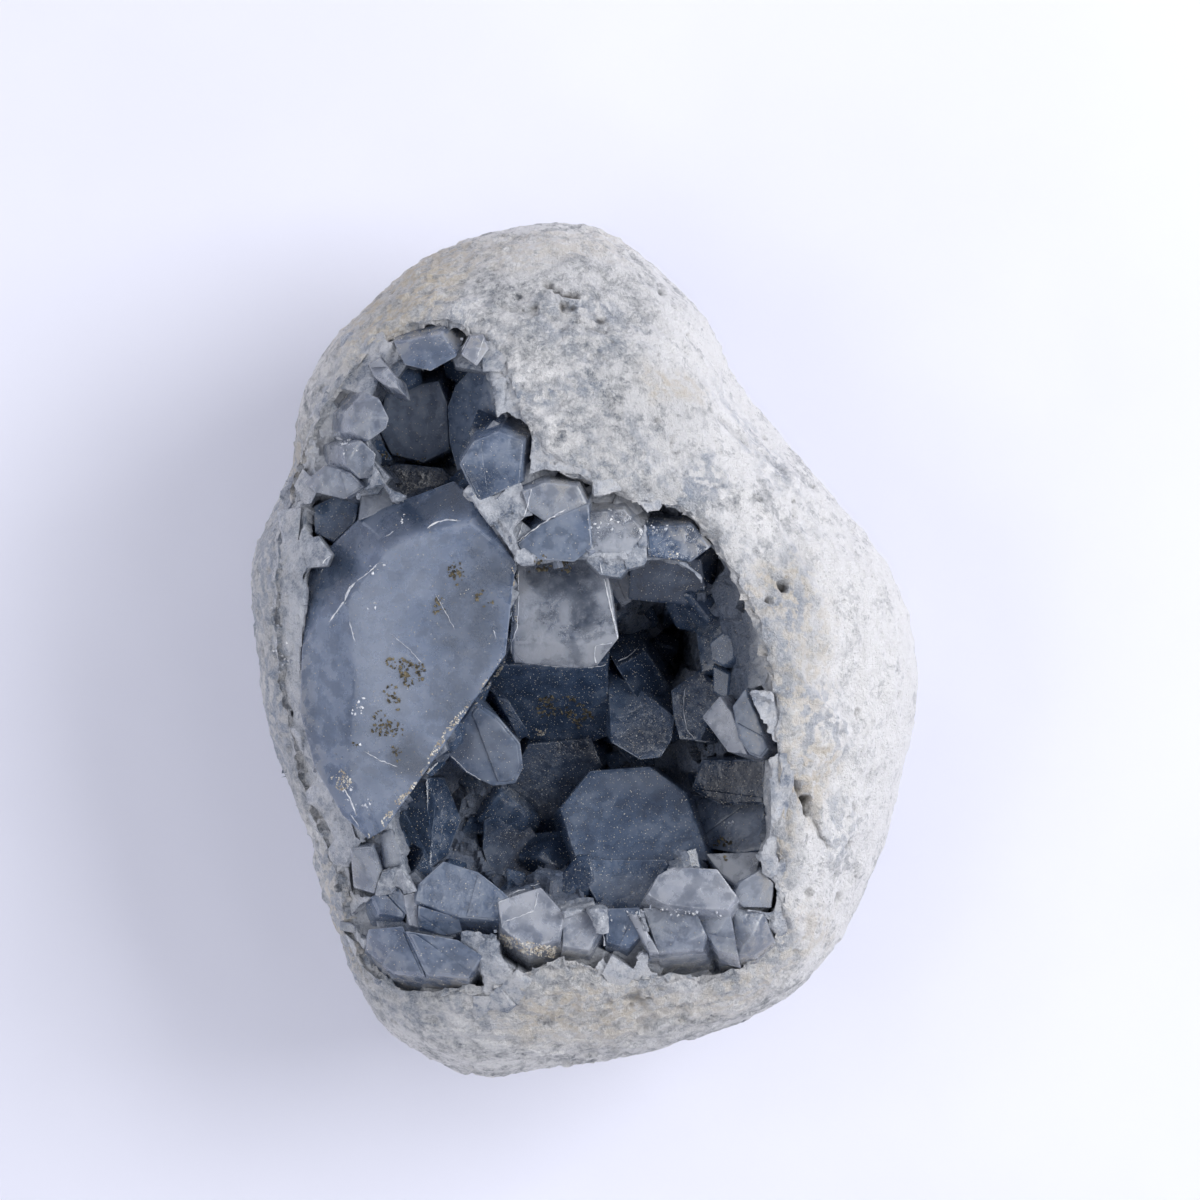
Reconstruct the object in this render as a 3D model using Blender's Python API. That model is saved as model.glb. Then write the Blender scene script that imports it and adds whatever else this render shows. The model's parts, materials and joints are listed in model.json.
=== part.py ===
"""Celestite geode: a rounded stone rind around two hollows, which one crust of grown-together crystals lines.

The geode lies on a small flat spot with its mouth up. X runs across it, Y along it towards its narrow end,
and Z up, with the origin in the middle of the bounding box, on the surface that it rests on.
Plan positions, outlines and heights are in millimetres; each mesh is brought to metres at the end.
"""

import math
import random

import bmesh
import bpy
from mathutils import Matrix, Vector, noise

MM = 0.001

# Driving dimensions of the stone
LENGTH = 128.0
WIDTH = 99.5
WIDEST_HEIGHT = 36.0
RISE_ABOVE_WIDEST = 38.0
DROP_BELOW_WIDEST = 37.2
SECTION_POWER = 2.15
GAP = 0.35

# How far the mass that the crystals grow from lies below the stone's own surface
BED_DEPTH = 3.6

# Plan outline of the stone: its radius every 15 degrees, counted from +X towards +Y
PLAN_RADII = (
    (49.5, 47.0, 44.0, 43.8, 46.8, 56.0)
    + (63.5, 64.0, 62.3, 58.6, 53.0, 51.5)
    + (49.2, 49.0, 50.0, 54.3, 63.2, 65.2)
    + (62.5, 61.2, 60.0, 57.0, 53.0, 51.0)
)

# Slow swells and smaller lumps of the worn surface: share of the radius, and how many to the radius
SWELLS = (0.016, 1.9)
LUMPS = (0.012, 5.2)

# Faces round and up the stone, and round and up the crystals' mass
STONE_FACES = (66, 26)
BED_FACES = (40, 18)

# Dents in the worn surface: name, x, y, z, how wide, how deep
DENTS = (
    ("shoulder_notch", 27.0, 36.0, 50.0, 8.0, 1.6),
    ("top_pit", 5.0, 52.0, 60.0, 4.5, 1.4),
    ("side_pit", 27.0, 10.0, 66.0, 4.0, 1.5),
    ("right_step", 36.0, -6.0, 58.0, 6.5, 1.6),
    ("right_crevice", 31.5, -22.0, 58.0, 4.0, 2.2),
    ("foot_hollow", -8.0, -52.0, 50.0, 7.0, 1.3),
    ("left_scoop", -43.0, 26.0, 40.0, 8.0, 1.4),
    ("left_step", -42.0, -26.0, 36.0, 7.0, 1.8),
)

# The pocket that holds the crystals: the plan line where the rind ends, from the far left, clockwise
POCKET_CENTRE = (-8.0, -2.0)
POCKET_RIM_HEIGHT = 50.0
POCKET_FLOOR = 14.0
POCKET_POWER = 2.6
POCKET_SIDE_POWER = 8
POCKET_OPEN_HEIGHT = 45.0
POCKET_FACES = (48, 14)
POCKET_LINE = (
    (-30.3, 43.5), (-23.3, 47.0), (-16.2, 45.8), (-11.5, 40.2), (-9.1, 31.0), (-3.4, 24.5),
    (5.1, 21.5), (15.0, 18.7), (20.6, 11.2), (24.6, 1.3), (27.0, -10.0), (26.6, -21.4),
    (26.8, -32.7), (28.4, -41.0), (22.3, -46.0), (9.4, -46.6), (-3.4, -43.8), (-14.9, -48.0),
    (-26.9, -49.0), (-33.2, -43.5), (-34.4, -34.0), (-38.4, -23.6), (-41.6, -13.3), (-43.4, -1.6),
    (-43.8, 8.6), (-43.1, 18.9), (-40.1, 28.4), (-35.6, 37.1),
)

# The open spaces among the crystals: name, centre, half sizes
VOIDS = (
    ("main_void", (2.0, -11.0, 66.0), (20.5, 22.0, 31.0)),
    ("lower_left_void", (-15.5, -25.0, 66.0), (12.0, 12.0, 24.0)),
    ("upper_right_void", (12.0, 1.5, 66.0), (11.5, 13.0, 27.0)),
    ("lower_right_void", (20.0, -22.0, 66.0), (6.5, 13.0, 24.0)),
    ("deep_pit", (12.6, 0.1, 50.0), (4.2, 6.2, 26.0)),
    ("side_void", (-21.5, 33.0, 64.0), (9.5, 10.5, 23.0)),
    ("left_void", (-36.0, 19.3, 58.0), (4.6, 4.6, 9.0)),
)

VOID_SIZE = 1.05
VOID_LUMPS = 0.14

# The great crystal on the left, by its corners: the ridge and right edge of its main face, then its side faces
GREAT_CRYSTAL = (
    (-33.5, 7.4, 63.6), (-27.6, 14.8, 66.0), (-21.9, 17.2, 68.0), (-15.9, 18.2, 69.6),
    (-9.5, 12.6, 71.6), (-10.9, -0.4, 71.6), (-20.5, -14.4, 68.4), (-28.4, -25.5, 64.2),
    (-30.8, -27.0, 62.4), (-32.3, -4.4, 64.4), (-33.4, -17.4, 62.8), (-34.7, -23.7, 60.0),
    (-38.8, -16.9, 58.2), (-41.0, -8.9, 57.6), (-40.7, -0.1, 58.2), (-38.2, 4.2, 60.0),
    (-40.0, 11.2, 55.0), (-36.0, 15.8, 57.5), (-32.4, 19.1, 59.4), (-26.5, 21.5, 61.6),
    (-18.5, 24.4, 64.2), (-15.6, 21.7, 67.2), (-14.0, -1.5, 46.0), (-22.0, -14.0, 46.0),
    (-29.5, -23.0, 46.0), (-38.0, -12.0, 40.0), (-38.0, 8.0, 40.0), (-20.0, 20.0, 46.0),
    (-13.0, 12.0, 46.0),
)

# A clear plate that juts out over the hollow, by its corners: top, front lip, underside
CLEAR_PLATE = (
    (-9.4, 12.8, 66.5), (3.1, 13.6, 66.5), (5.1, 1.9, 65.0), (1.9, 0.9, 64.6), (-9.9, 1.3, 64.6),
    (2.0, -2.1, 62.4), (-0.1, -2.6, 62.0), (-10.0, -1.7, 62.4), (-10.6, 0.6, 63.0),
    (-9.0, 14.5, 58.0), (3.5, 14.5, 58.0), (4.6, 2.2, 60.0), (-9.5, 0.6, 59.5),
)

# The other crystals. Each has an end face: its plan outline, its height in the middle, and its slopes along
# X and Y. From there it runs down for its length, leaning towards its root.
# Columns: name, height, (slope x, slope y), length, (lean x, lean y), outline
CRYSTALS = (
    # Around the great crystal and on the left wall of the main hollow
    ("knob", 54.5, (0.10, 0.30), 16, (-0.45, 0.35), (
        (-15.4, -7.7), (-12.2, -10.0), (-9.3, -13.5), (-8.9, -16.9), (-10.0, -19.2),
        (-13.2, -19.6), (-16.9, -17.8), (-20.0, -14.6), (-18.4, -11.8))),
    ("slab", 51.0, (0.2, 0.5), 12, (-0.5, 0.5), (
        (-12.6, -7.0), (-10.9, -7.4), (-7.9, -12.3), (-9.4, -13.1))),
    ("dusty_left_face", 50.5, (0.55, -0.12), 14, (-0.4, -0.1), (
        (-27.5, -22.6), (-23.4, -18.7), (-21.6, -22.0), (-22.6, -32.0), (-24.4, -32.4),
        (-26.6, -29.6), (-28.6, -25.4))),
    ("dusty_right_face", 50.0, (-0.85, -0.1), 14, (-0.2, -0.1), (
        (-23.0, -18.9), (-20.4, -18.9), (-18.1, -25.0), (-19.8, -29.6), (-22.4, -31.6),
        (-22.0, -25.0))),
    # The floor of the main hollow
    ("middle_blade", 48.0, (0.10, -0.30), 14, (0.0, 0.25), (
        (3.7, -3.4), (8.3, -6.0), (13.2, -9.9), (12.8, -13.1), (11.2, -15.6), (8.3, -15.9),
        (4.2, -13.5))),
    ("middle_blade_flank", 44.5, (-1.0, 0.2), 10, (0.0, 0.2), (
        (5.0, -2.6), (9.2, -0.4), (13.6, -7.0), (14.2, -11.0), (11.6, -13.0), (8.0, -6.0))),
    ("inner_giant", 52.0, (0.02, -0.42), 18, (0.1, -0.2), (
        (-3.0, -23.2), (1.2, -18.0), (9.6, -17.4), (12.3, -19.4), (14.7, -21.0), (16.6, -26.9),
        (17.9, -30.2), (11.8, -30.8), (1.2, -30.8), (-0.9, -29.6))),
    ("inner_giant_foot", 56.8, (0.02, -0.25), 16, (0.0, -0.2), (
        (1.2, -30.4), (11.7, -30.4), (13.0, -33.0), (9.5, -35.8), (8.6, -37.2), (2.6, -37.0),
        (0.9, -34.1))),
    ("lower_middle", 44.5, (-0.10, -0.35), 12, (0.0, -0.2), (
        (-14.7, -25.4), (-12.5, -24.4), (-9.4, -24.4), (-5.6, -29.8), (-7.3, -34.0),
        (-10.7, -35.6), (-13.8, -32.5), (-14.8, -29.5))),
    ("dark_floor", 38.5, (-0.12, 0.12), 10, (0.0, 0.0), (
        (-11.8, -21.1), (-8.1, -14.4), (0.9, -13.6), (2.4, -17.4), (-2.0, -23.8),
        (-1.0, -30.1), (-5.4, -30.1), (-9.4, -24.4))),
    ("dark_corner", 37.0, (0.2, -0.3), 10, (0.0, -0.2), (
        (-5.4, -29.6), (-1.4, -29.0), (1.7, -36.9), (-3.6, -37.7), (-6.6, -35.0))),
    ("back_wall", 43.5, (0.0, 1.0), 16, (-0.1, 0.5), (
        (-12.4, -2.4), (3.2, -2.0), (3.4, -12.7), (0.9, -13.7), (-8.0, -13.4), (-14.6, -7.5))),
    # The right wall, under the thick side of the rind
    ("right_block", 59.8, (-0.05, 0.65), 16, (0.25, 0.5), (
        (6.9, 12.1), (8.8, 13.6), (16.7, 13.0), (17.4, 8.5), (15.0, 6.6), (9.5, 7.2), (6.6, 7.5))),
    ("right_block_step", 53.0, (0.3, 0.5), 12, (0.2, 0.5), (
        (2.8, 12.6), (6.8, 12.6), (6.9, 7.2), (5.6, 6.4), (4.4, 8.0))),
    ("pit_edge", 52.0, (0.5, -0.1), 12, (0.4, 0.0), (
        (17.6, 8.6), (20.2, 5.0), (20.4, -2.0), (17.2, -3.0), (17.4, 2.4), (16.0, 6.4))),
    ("hooked", 50.0, (0.2, -0.2), 12, (0.5, 0.0), (
        (12.9, -6.0), (17.0, -3.0), (20.3, -6.0), (17.8, -10.4), (17.0, -13.0), (14.1, -12.9),
        (13.2, -9.7))),
    ("pale_blade", 62.0, (0.70, 0.0), 12, (0.5, -0.1), (
        (17.2, -9.6), (19.6, -6.6), (21.2, -8.8), (21.8, -12.3), (23.3, -14.6), (20.7, -14.3))),
    ("grey_blade", 64.5, (0.45, 0.1), 14, (0.4, 0.0), (
        (21.4, -8.0), (23.1, -5.6), (24.8, -9.5), (26.4, -13.8), (25.3, -15.2), (23.7, -14.6),
        (22.2, -12.3))),
    ("right_wall_upper", 52.0, (0.75, 0.1), 14, (0.5, 0.0), (
        (17.4, -16.2), (25.9, -15.9), (26.2, -22.2), (20.2, -22.6), (16.0, -20.6))),
    ("right_wall_lower", 50.0, (0.60, -0.3), 14, (0.5, -0.1), (
        (16.2, -21.5), (26.2, -22.2), (25.9, -29.0), (22.6, -29.6), (18.8, -29.0), (17.1, -26.6))),
    # The crystals along the lower rim
    ("glassy_chip", 61.0, (0.3, -0.4), 12, (0.2, -0.4), (
        (17.8, -29.3), (25.3, -28.9), (24.7, -32.0), (22.7, -34.1), (19.8, -31.9))),
    ("cloudy_lozenge", 64.5, (0.0, -0.10), 10, (0.0, -0.4), (
        (9.4, -34.7), (10.9, -32.0), (13.0, -30.9), (19.0, -31.2), (21.7, -34.9), (20.4, -36.8),
        (15.9, -36.6), (11.6, -36.0))),
    ("row_first", 62.5, (0.0, -0.15), 14, (0.0, -0.4), (
        (3.0, -37.0), (8.0, -36.8), (8.6, -40.3), (6.3, -42.4), (3.4, -41.6))),
    ("row_shard", 63.6, (0.5, 0.0), 10, (0.0, -0.3), (
        (6.3, -37.4), (8.0, -38.1), (10.9, -43.1), (9.5, -43.1))),
    ("row_second", 63.0, (0.05, -0.25), 14, (0.1, -0.4), (
        (8.7, -36.9), (11.2, -36.8), (16.0, -37.3), (17.3, -40.3), (17.0, -42.6), (10.9, -43.0),
        (9.9, -40.3))),
    ("row_third", 62.0, (0.35, -0.2), 14, (0.1, -0.4), (
        (16.5, -37.1), (21.0, -37.3), (22.2, -43.7), (19.2, -43.0), (17.4, -40.3))),
    ("row_fourth", 61.5, (-0.15, -0.2), 14, (0.2, -0.4), (
        (21.4, -36.9), (25.9, -37.9), (27.3, -41.6), (24.8, -43.8), (22.3, -43.7))),
    ("white_cube", 65.2, (0.10, -0.12), 14, (0.0, -0.4), (
        (-12.0, -35.8), (-9.9, -35.0), (-6.1, -33.8), (-2.8, -37.4), (-3.6, -40.8), (-7.7, -42.1),
        (-11.5, -39.4))),
    ("white_cube_small", 64.5, (-0.2, 0.1), 12, (0.0, -0.4), (
        (-2.8, -38.2), (0.6, -36.6), (2.6, -39.8), (0.8, -42.6), (-2.8, -42.0))),
    ("speckled_plate", 62.0, (0.15, -0.12), 12, (-0.1, -0.4), (
        (-23.8, -35.7), (-23.3, -33.3), (-19.9, -30.2), (-15.0, -31.7), (-11.8, -34.2),
        (-10.2, -35.8), (-12.1, -38.4), (-17.9, -38.0))),
    ("dark_wedge", 59.5, (0.15, 0.4), 12, (0.0, -0.4), (
        (-23.6, -36.5), (-17.9, -38.3), (-17.6, -40.2), (-20.0, -40.9), (-23.6, -39.7))),
    ("upright_prism", 60.5, (0.5, 0.2), 14, (-0.3, -0.1), (
        (-28.9, -26.4), (-27.5, -25.5), (-26.3, -28.9), (-26.0, -30.7), (-28.5, -31.2))),
    ("bright_edge", 61.0, (-0.2, 0.1), 12, (-0.1, -0.3), (
        (-25.8, -35.1), (-24.0, -34.7), (-23.7, -39.7), (-25.0, -39.3))),
    ("left_foot_facet", 59.5, (0.6, 0.2), 12, (-0.2, -0.3), (
        (-30.6, -35.5), (-26.6, -34.1), (-24.9, -36.3), (-25.9, -38.4), (-29.5, -38.0))),
    ("lower_facet_left", 57.8, (0.6, 0.5), 14, (-0.1, -0.4), (
        (-31.0, -40.4), (-26.0, -39.6), (-23.0, -46.6), (-27.6, -46.6), (-31.5, -43.5))),
    ("lower_facet_middle", 61.5, (0.25, 0.5), 14, (-0.1, -0.4), (
        (-25.2, -40.2), (-18.0, -41.3), (-14.6, -43.5), (-16.6, -46.8), (-22.4, -46.4))),
    # The bridge between the two hollows
    ("bridge_wedge", 69.0, (0.25, -0.2), 14, (0.0, 0.3), (
        (-9.1, 15.3), (-5.4, 18.3), (0.6, 20.7), (1.1, 14.8), (-1.3, 12.8), (-7.7, 13.2))),
    ("bridge_left", 67.8, (0.2, 0.1), 12, (0.1, 0.2), (
        (-17.4, 26.6), (-15.5, 29.7), (-12.0, 31.1), (-8.6, 29.7), (-9.1, 24.0), (-14.8, 21.4))),
    ("bridge_middle", 70.0, (-0.1, 0.15), 12, (0.0, 0.2), (
        (-8.4, 22.6), (-5.4, 23.8), (-0.9, 23.4), (0.6, 20.6), (-5.5, 18.6), (-7.6, 20.0))),
    ("bridge_sparkle", 68.6, (0.0, -0.35), 12, (0.0, 0.3), (
        (0.9, 19.5), (5.8, 20.0), (8.5, 16.9), (6.5, 13.8), (1.6, 14.0))),
    ("bridge_right", 66.5, (-0.1, -0.45), 18, (0.1, 0.2), (
        (8.9, 17.6), (15.1, 17.9), (17.8, 14.8), (15.1, 12.8), (9.4, 13.5))),
    # The side hollow
    ("side_right_wall", 56.5, (0.85, 0.0), 16, (0.4, 0.0), (
        (-19.7, 35.4), (-18.6, 38.3), (-15.6, 41.4), (-13.8, 39.8), (-12.8, 36.1), (-12.4, 32.0),
        (-15.1, 27.9), (-18.3, 26.4), (-19.4, 30.3))),
    ("side_floor", 46.0, (0.05, 0.30), 12, (0.0, 0.1), (
        (-28.7, 37.6), (-21.3, 39.1), (-20.1, 36.1), (-19.8, 29.5), (-23.5, 27.7), (-28.0, 28.9),
        (-29.8, 32.4))),
    ("side_lower", 53.0, (0.0, -0.20), 14, (0.0, -0.3), (
        (-29.9, 26.2), (-27.3, 27.4), (-21.0, 26.7), (-18.6, 24.8), (-26.5, 21.6), (-28.7, 23.0))),
    ("tooth", 61.5, (0.25, -0.35), 8, (-0.3, 0.5), (
        (-31.4, 42.6), (-29.2, 43.4), (-27.0, 39.8), (-26.6, 37.6), (-28.2, 37.9), (-30.6, 40.2))),
    ("glassy_ball", 62.5, (0.15, 0.0), 12, (-0.4, 0.0), (
        (-34.0, 34.4), (-31.6, 37.2), (-29.3, 36.2), (-27.9, 33.4), (-28.3, 32.0), (-30.7, 30.3),
        (-33.4, 31.7))),
    ("glassy_wedge", 61.5, (0.1, 0.2), 12, (-0.4, 0.0), (
        (-34.5, 29.4), (-31.9, 30.2), (-29.8, 28.3), (-30.4, 25.0), (-32.1, 24.9), (-34.0, 26.8))),
    ("left_pale", 59.8, (0.35, 0.0), 12, (0.3, 0.1), (
        (-40.6, 24.4), (-37.3, 26.7), (-33.7, 25.6), (-31.7, 23.6), (-34.4, 21.9), (-38.5, 22.9))),
    ("left_dark", 55.0, (0.3, -0.3), 10, (0.0, 0.0), (
        (-39.2, 20.9), (-36.2, 22.4), (-32.8, 21.2), (-33.2, 18.7), (-36.2, 15.9), (-38.9, 17.2))),
    ("left_steel", 60.2, (0.2, -0.3), 10, (0.0, 0.1), (
        (-31.8, 22.7), (-28.7, 23.7), (-27.0, 21.2), (-30.5, 19.5), (-32.3, 18.8))),
    ("far_overhang", 61.5, (0.35, -0.5), 10, (0.0, 0.5), (
        (-27.2, 44.4), (-20.4, 45.4), (-18.3, 42.2), (-21.9, 40.2), (-25.6, 41.2))),
    ("far_prism", 69.0, (0.1, -0.2), 10, (0.0, 0.2), (
        (-17.4, 42.4), (-16.2, 45.0), (-14.4, 45.2), (-13.6, 43.2), (-15.2, 40.8))),
)
CROWN_SPREAD = 1.13
CROWN_DROP = 1.8
ROOT_SPREAD = 1.22

# No crystal's end face stands further than this above the stone's own surface
PROUD = 1.2

# Small crystals that fill the crust between the named ones, round the pocket line and over the bed:
# how many, their half sizes from and to, and how far their tops lie below the stone's own surface
RIM_CRYSTALS = 34
RIM_HALF_SIZES = (1.5, 2.8)
RIM_DROP = 1.6
BED_CRYSTALS = 60
BED_HALF_SIZES = (2.0, 3.6)
BED_DROP = 2.2
BED_SPREAD = 0.93
SMALL_LENGTH = 13.0
ROOT_LEAN = 0.5
SMALL_CRYSTAL_SEED = 11

# The middle line of the great crystal's face in plan, and how far from it no small crystal grows
GREAT_LINE = ((-21.0, 11.0), (-32.0, -17.0))
GREAT_REACH = 13.5


def periodic(values, turn):
    """A smooth closed curve through evenly spaced values, read at a share of the full turn."""
    count = len(values)
    place = (turn % 1.0) * count
    first = int(place)
    t = place - first
    a, b, c, d = (values[(first + k) % count] for k in (-1, 0, 1, 2))
    bend = (2 * a - 5 * b + 4 * c - d) * t * t
    twist = (3 * b - a - 3 * c + d) * t * t * t
    return 0.5 * (2 * b + (c - a) * t + bend + twist)


def stone_radius(direction):
    """Distance from the middle of the stone's widest plane to its surface, before the dents."""
    turn = math.atan2(direction.y, direction.x) / math.tau
    level = math.hypot(direction.x, direction.y)
    tall = RISE_ABOVE_WIDEST if direction.z > 0 else DROP_BELOW_WIDEST
    across = (level / periodic(PLAN_RADII, turn)) ** SECTION_POWER
    upward = (abs(direction.z) / tall) ** SECTION_POWER
    radius = (across + upward) ** (-1 / SECTION_POWER)
    swell = SWELLS[0] * noise.noise(direction * SWELLS[1])
    lump = LUMPS[0] * noise.noise(direction * LUMPS[1])
    return radius * (1 + swell + lump)


def dent_depth(point):
    """How far the dents push a surface point in."""
    depth = 0.0
    for _, x, y, z, width, deep in DENTS:
        distance = (point - Vector((x, y, z))).length
        depth += deep * math.exp(-((distance / width) ** 2))
    return depth


def new_object(name, mesh_builder, collection):
    """A named object in a collection, with the mesh that the builder shapes in millimetres."""
    shape = bmesh.new()
    mesh_builder(shape)
    bmesh.ops.recalc_face_normals(shape, faces=shape.faces)
    bmesh.ops.transform(shape, matrix=Matrix.Scale(MM, 4), verts=shape.verts)
    mesh = bpy.data.meshes.new(name)
    shape.to_mesh(mesh)
    shape.free()
    made = bpy.data.objects.new(name, mesh)
    collection.objects.link(made)
    return made


def stone(inset, around, upward):
    """A builder for the whole stone, its surface moved in by the inset, with its flat resting spot."""

    def build(shape):
        bmesh.ops.create_uvsphere(shape, u_segments=around, v_segments=upward, radius=1.0)
        for vert in shape.verts:
            direction = vert.co.normalized()
            radius = stone_radius(direction)
            surface = direction * radius + Vector((0, 0, WIDEST_HEIGHT))
            radius -= dent_depth(surface) + inset
            vert.co = direction * radius + Vector((0, 0, WIDEST_HEIGHT))
        fit_to_size(shape, inset)
        cut = bmesh.ops.bisect_plane(
            shape,
            geom=shape.verts[:] + shape.edges[:] + shape.faces[:],
            plane_co=(0, 0, inset),
            plane_no=(0, 0, 1),
            clear_inner=True,
        )
        rim = [item for item in cut["geom_cut"] if isinstance(item, bmesh.types.BMEdge)]
        bmesh.ops.contextual_create(shape, geom=rim)

    return build


def fit_to_size(shape, inset):
    """Stretches the stone to its driving length and width, with its box centred on the origin."""
    for axis, size in ((0, WIDTH), (1, LENGTH)):
        low = min(vert.co[axis] for vert in shape.verts)
        high = max(vert.co[axis] for vert in shape.verts)
        share = (size - 2 * inset) / (high - low)
        for vert in shape.verts:
            vert.co[axis] = (vert.co[axis] - (low + high) / 2) * share


def pocket(inset):
    """A builder for the bowl that the crystals fill, open far above the stone."""

    def build(shape):
        around, upward = POCKET_FACES
        bmesh.ops.create_uvsphere(shape, u_segments=around, v_segments=upward, radius=1.0)
        for vert in shape.verts:
            turn = math.atan2(vert.co.y, vert.co.x)
            radius = pocket_reach(turn) - inset
            rise = vert.co.z
            if rise > 0:
                share = math.sqrt(max(0.0, 1 - rise**POCKET_SIDE_POWER))
                height = POCKET_RIM_HEIGHT + rise * POCKET_OPEN_HEIGHT
            else:
                share = max(0.0, 1 - abs(rise) ** POCKET_POWER) ** (1 / POCKET_POWER)
                height = POCKET_RIM_HEIGHT + rise * (POCKET_RIM_HEIGHT - POCKET_FLOOR - inset)
            vert.co = Vector((
                POCKET_CENTRE[0] + radius * share * math.cos(turn),
                POCKET_CENTRE[1] + radius * share * math.sin(turn),
                height,
            ))

    return build


def pocket_reach(turn):
    """Distance from the pocket's centre to its plan line, eased between the points on either side."""
    centre_x, centre_y = POCKET_CENTRE
    seen = sorted(
        (math.atan2(y - centre_y, x - centre_x), math.hypot(x - centre_x, y - centre_y))
        for x, y in POCKET_LINE
    )
    for (here, near), (there, far) in zip(seen, seen[1:] + seen[:1]):
        span = (there - here) % math.tau
        gone = (turn - here) % math.tau
        if gone <= span:
            share = gone / span
            share = share * share * (3 - 2 * share)
            return near * (1 - share) + far * share
    return seen[0][1]


def from_pocket_centre(turn, out):
    """The plan point at an angle and a distance from the pocket's centre."""
    return POCKET_CENTRE[0] + out * math.cos(turn), POCKET_CENTRE[1] + out * math.sin(turn)


def ellipsoid(centre, halves):
    """A builder for a lumpy open space."""

    def build(shape):
        bmesh.ops.create_icosphere(shape, subdivisions=2, radius=1.0)
        for vert in shape.verts:
            swell = VOID_SIZE + VOID_LUMPS * noise.noise(vert.co * 1.7 + Vector(centre))
            vert.co = Vector(
                centre[axis] + vert.co[axis] * halves[axis] * swell for axis in range(3)
            )

    return build


def hull(points):
    """A builder for the flat-faced solid that just holds the points."""

    def build(shape):
        for point in points:
            shape.verts.new(point)
        found = bmesh.ops.convex_hull(shape, input=shape.verts)
        spare = set(found["geom_interior"]) | set(found["geom_unused"])
        loose = [item for item in spare if isinstance(item, bmesh.types.BMVert)]
        bmesh.ops.delete(shape, geom=loose, context="VERTS")

    return build


def crystal_points(height, slopes, length, lean, outline):
    """The corners of one crystal: its end face, the wider crown under it, and its root."""
    middle_x = sum(x for x, _ in outline) / len(outline)
    middle_y = sum(y for _, y in outline) / len(outline)
    height = min(height, stone_top(middle_x, middle_y) + PROUD)
    points = []
    for spread, drop in ((1.0, 0.0), (CROWN_SPREAD, CROWN_DROP), (ROOT_SPREAD, length)):
        for x, y in outline:
            out_x, out_y = (x - middle_x) * spread, (y - middle_y) * spread
            tilt = slopes[0] * out_x + slopes[1] * out_y
            points.append((
                middle_x + out_x + lean[0] * drop,
                middle_y + out_y + lean[1] * drop,
                height + tilt - drop,
            ))
    return points


def stone_top(x, y):
    """Height of the stone's upper surface over a plan point, leaving out its lumps."""
    turn = math.atan2(y, x) / math.tau
    share = min(math.hypot(x, y) / periodic(PLAN_RADII, turn), 0.98)
    return WIDEST_HEIGHT + RISE_ABOVE_WIDEST * (1 - share**SECTION_POWER) ** (1 / SECTION_POWER)


def stone_slope(x, y):
    """How fast the stone's upper surface rises along X and along Y over a plan point."""
    rise_x = stone_top(x + 1, y) - stone_top(x - 1, y)
    rise_y = stone_top(x, y + 1) - stone_top(x, y - 1)
    return Vector((rise_x / 2, rise_y / 2))


def over_void(x, y, spare):
    """Whether a plan point lies over an open space, less a spare distance from its edge."""
    return any(
        math.hypot((x - centre[0]) / (halves[0] - spare), (y - centre[1]) / (halves[1] - spare)) < 1
        for _, centre, halves in VOIDS
    )


def on_great_crystal(x, y):
    """Whether a plan point lies on the great crystal's face."""
    start, end = (Vector(point) for point in GREAT_LINE)
    along = end - start
    share = (Vector((x, y)) - start).dot(along) / along.length_squared
    nearest = start + along * min(1.0, max(0.0, share))
    return math.dist((x, y), nearest) < GREAT_REACH


def small_crystal_points(dice, x, y, top, radius):
    """The corners of one small blocky crystal, longer than wide, with a tilted end face and a wider root."""
    sides = dice.choice((4, 4, 5, 6))
    spin = dice.uniform(0, math.tau)
    long, short = Vector((math.cos(spin), math.sin(spin))), Vector((-math.sin(spin), math.cos(spin)))
    slender = dice.uniform(0.55, 0.9)
    fall = stone_slope(x, y)
    slope = fall + Vector((dice.uniform(-0.6, 0.6), dice.uniform(-0.6, 0.6)))
    points = []
    for spread, drop in ((0.9, 0.0), (1.15, SMALL_LENGTH)):
        for side in range(sides):
            angle = math.tau * (side + dice.uniform(-0.25, 0.25)) / sides
            out = radius * spread * (math.cos(angle) * long + math.sin(angle) * slender * short)
            foot = Vector((x, y)) + out + ROOT_LEAN * drop * fall
            points.append((foot.x, foot.y, top + slope.dot(out) - drop))
    return points


def small_crystals():
    """Small crystals round the pocket line, and scattered evenly over the bed outside the open spaces."""
    dice = random.Random(SMALL_CRYSTAL_SEED)
    found = []
    for place in range(RIM_CRYSTALS):
        turn = math.tau * (place + dice.uniform(-0.3, 0.3)) / RIM_CRYSTALS
        radius = dice.uniform(*RIM_HALF_SIZES)
        x, y = from_pocket_centre(turn, pocket_reach(turn) - 0.9 * radius)
        found.append(small_crystal_points(dice, x, y, stone_top(x, y) - RIM_DROP, radius))
    golden_turn = math.pi * (3 - math.sqrt(5))
    for place in range(BED_CRYSTALS):
        turn = place * golden_turn
        share = math.sqrt((place + 0.5) / BED_CRYSTALS)
        x, y = from_pocket_centre(turn, BED_SPREAD * share * pocket_reach(turn))
        if not over_void(x, y, 1.0) and not on_great_crystal(x, y):
            radius = dice.uniform(*BED_HALF_SIZES)
            found.append(small_crystal_points(dice, x, y, stone_top(x, y) - BED_DROP, radius))
    return found


def boolean(target, operation, other, solver="EXACT"):
    """Joins, cuts or trims the target by another object, or by every object in a collection."""
    step = target.modifiers.new(operation.lower(), "BOOLEAN")
    step.operation = operation
    step.solver = solver
    if isinstance(other, bpy.types.Collection):
        step.operand_type = "COLLECTION"
        step.collection = other
    else:
        step.object = other


def helpers(name):
    """A collection of helper solids, kept out of renders."""
    made = bpy.data.collections.new(name)
    bpy.context.scene.collection.children.link(made)
    return made


def hide_helpers(collection):
    for item in collection.objects:
        item.hide_render = True
        item.display_type = "WIRE"


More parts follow.
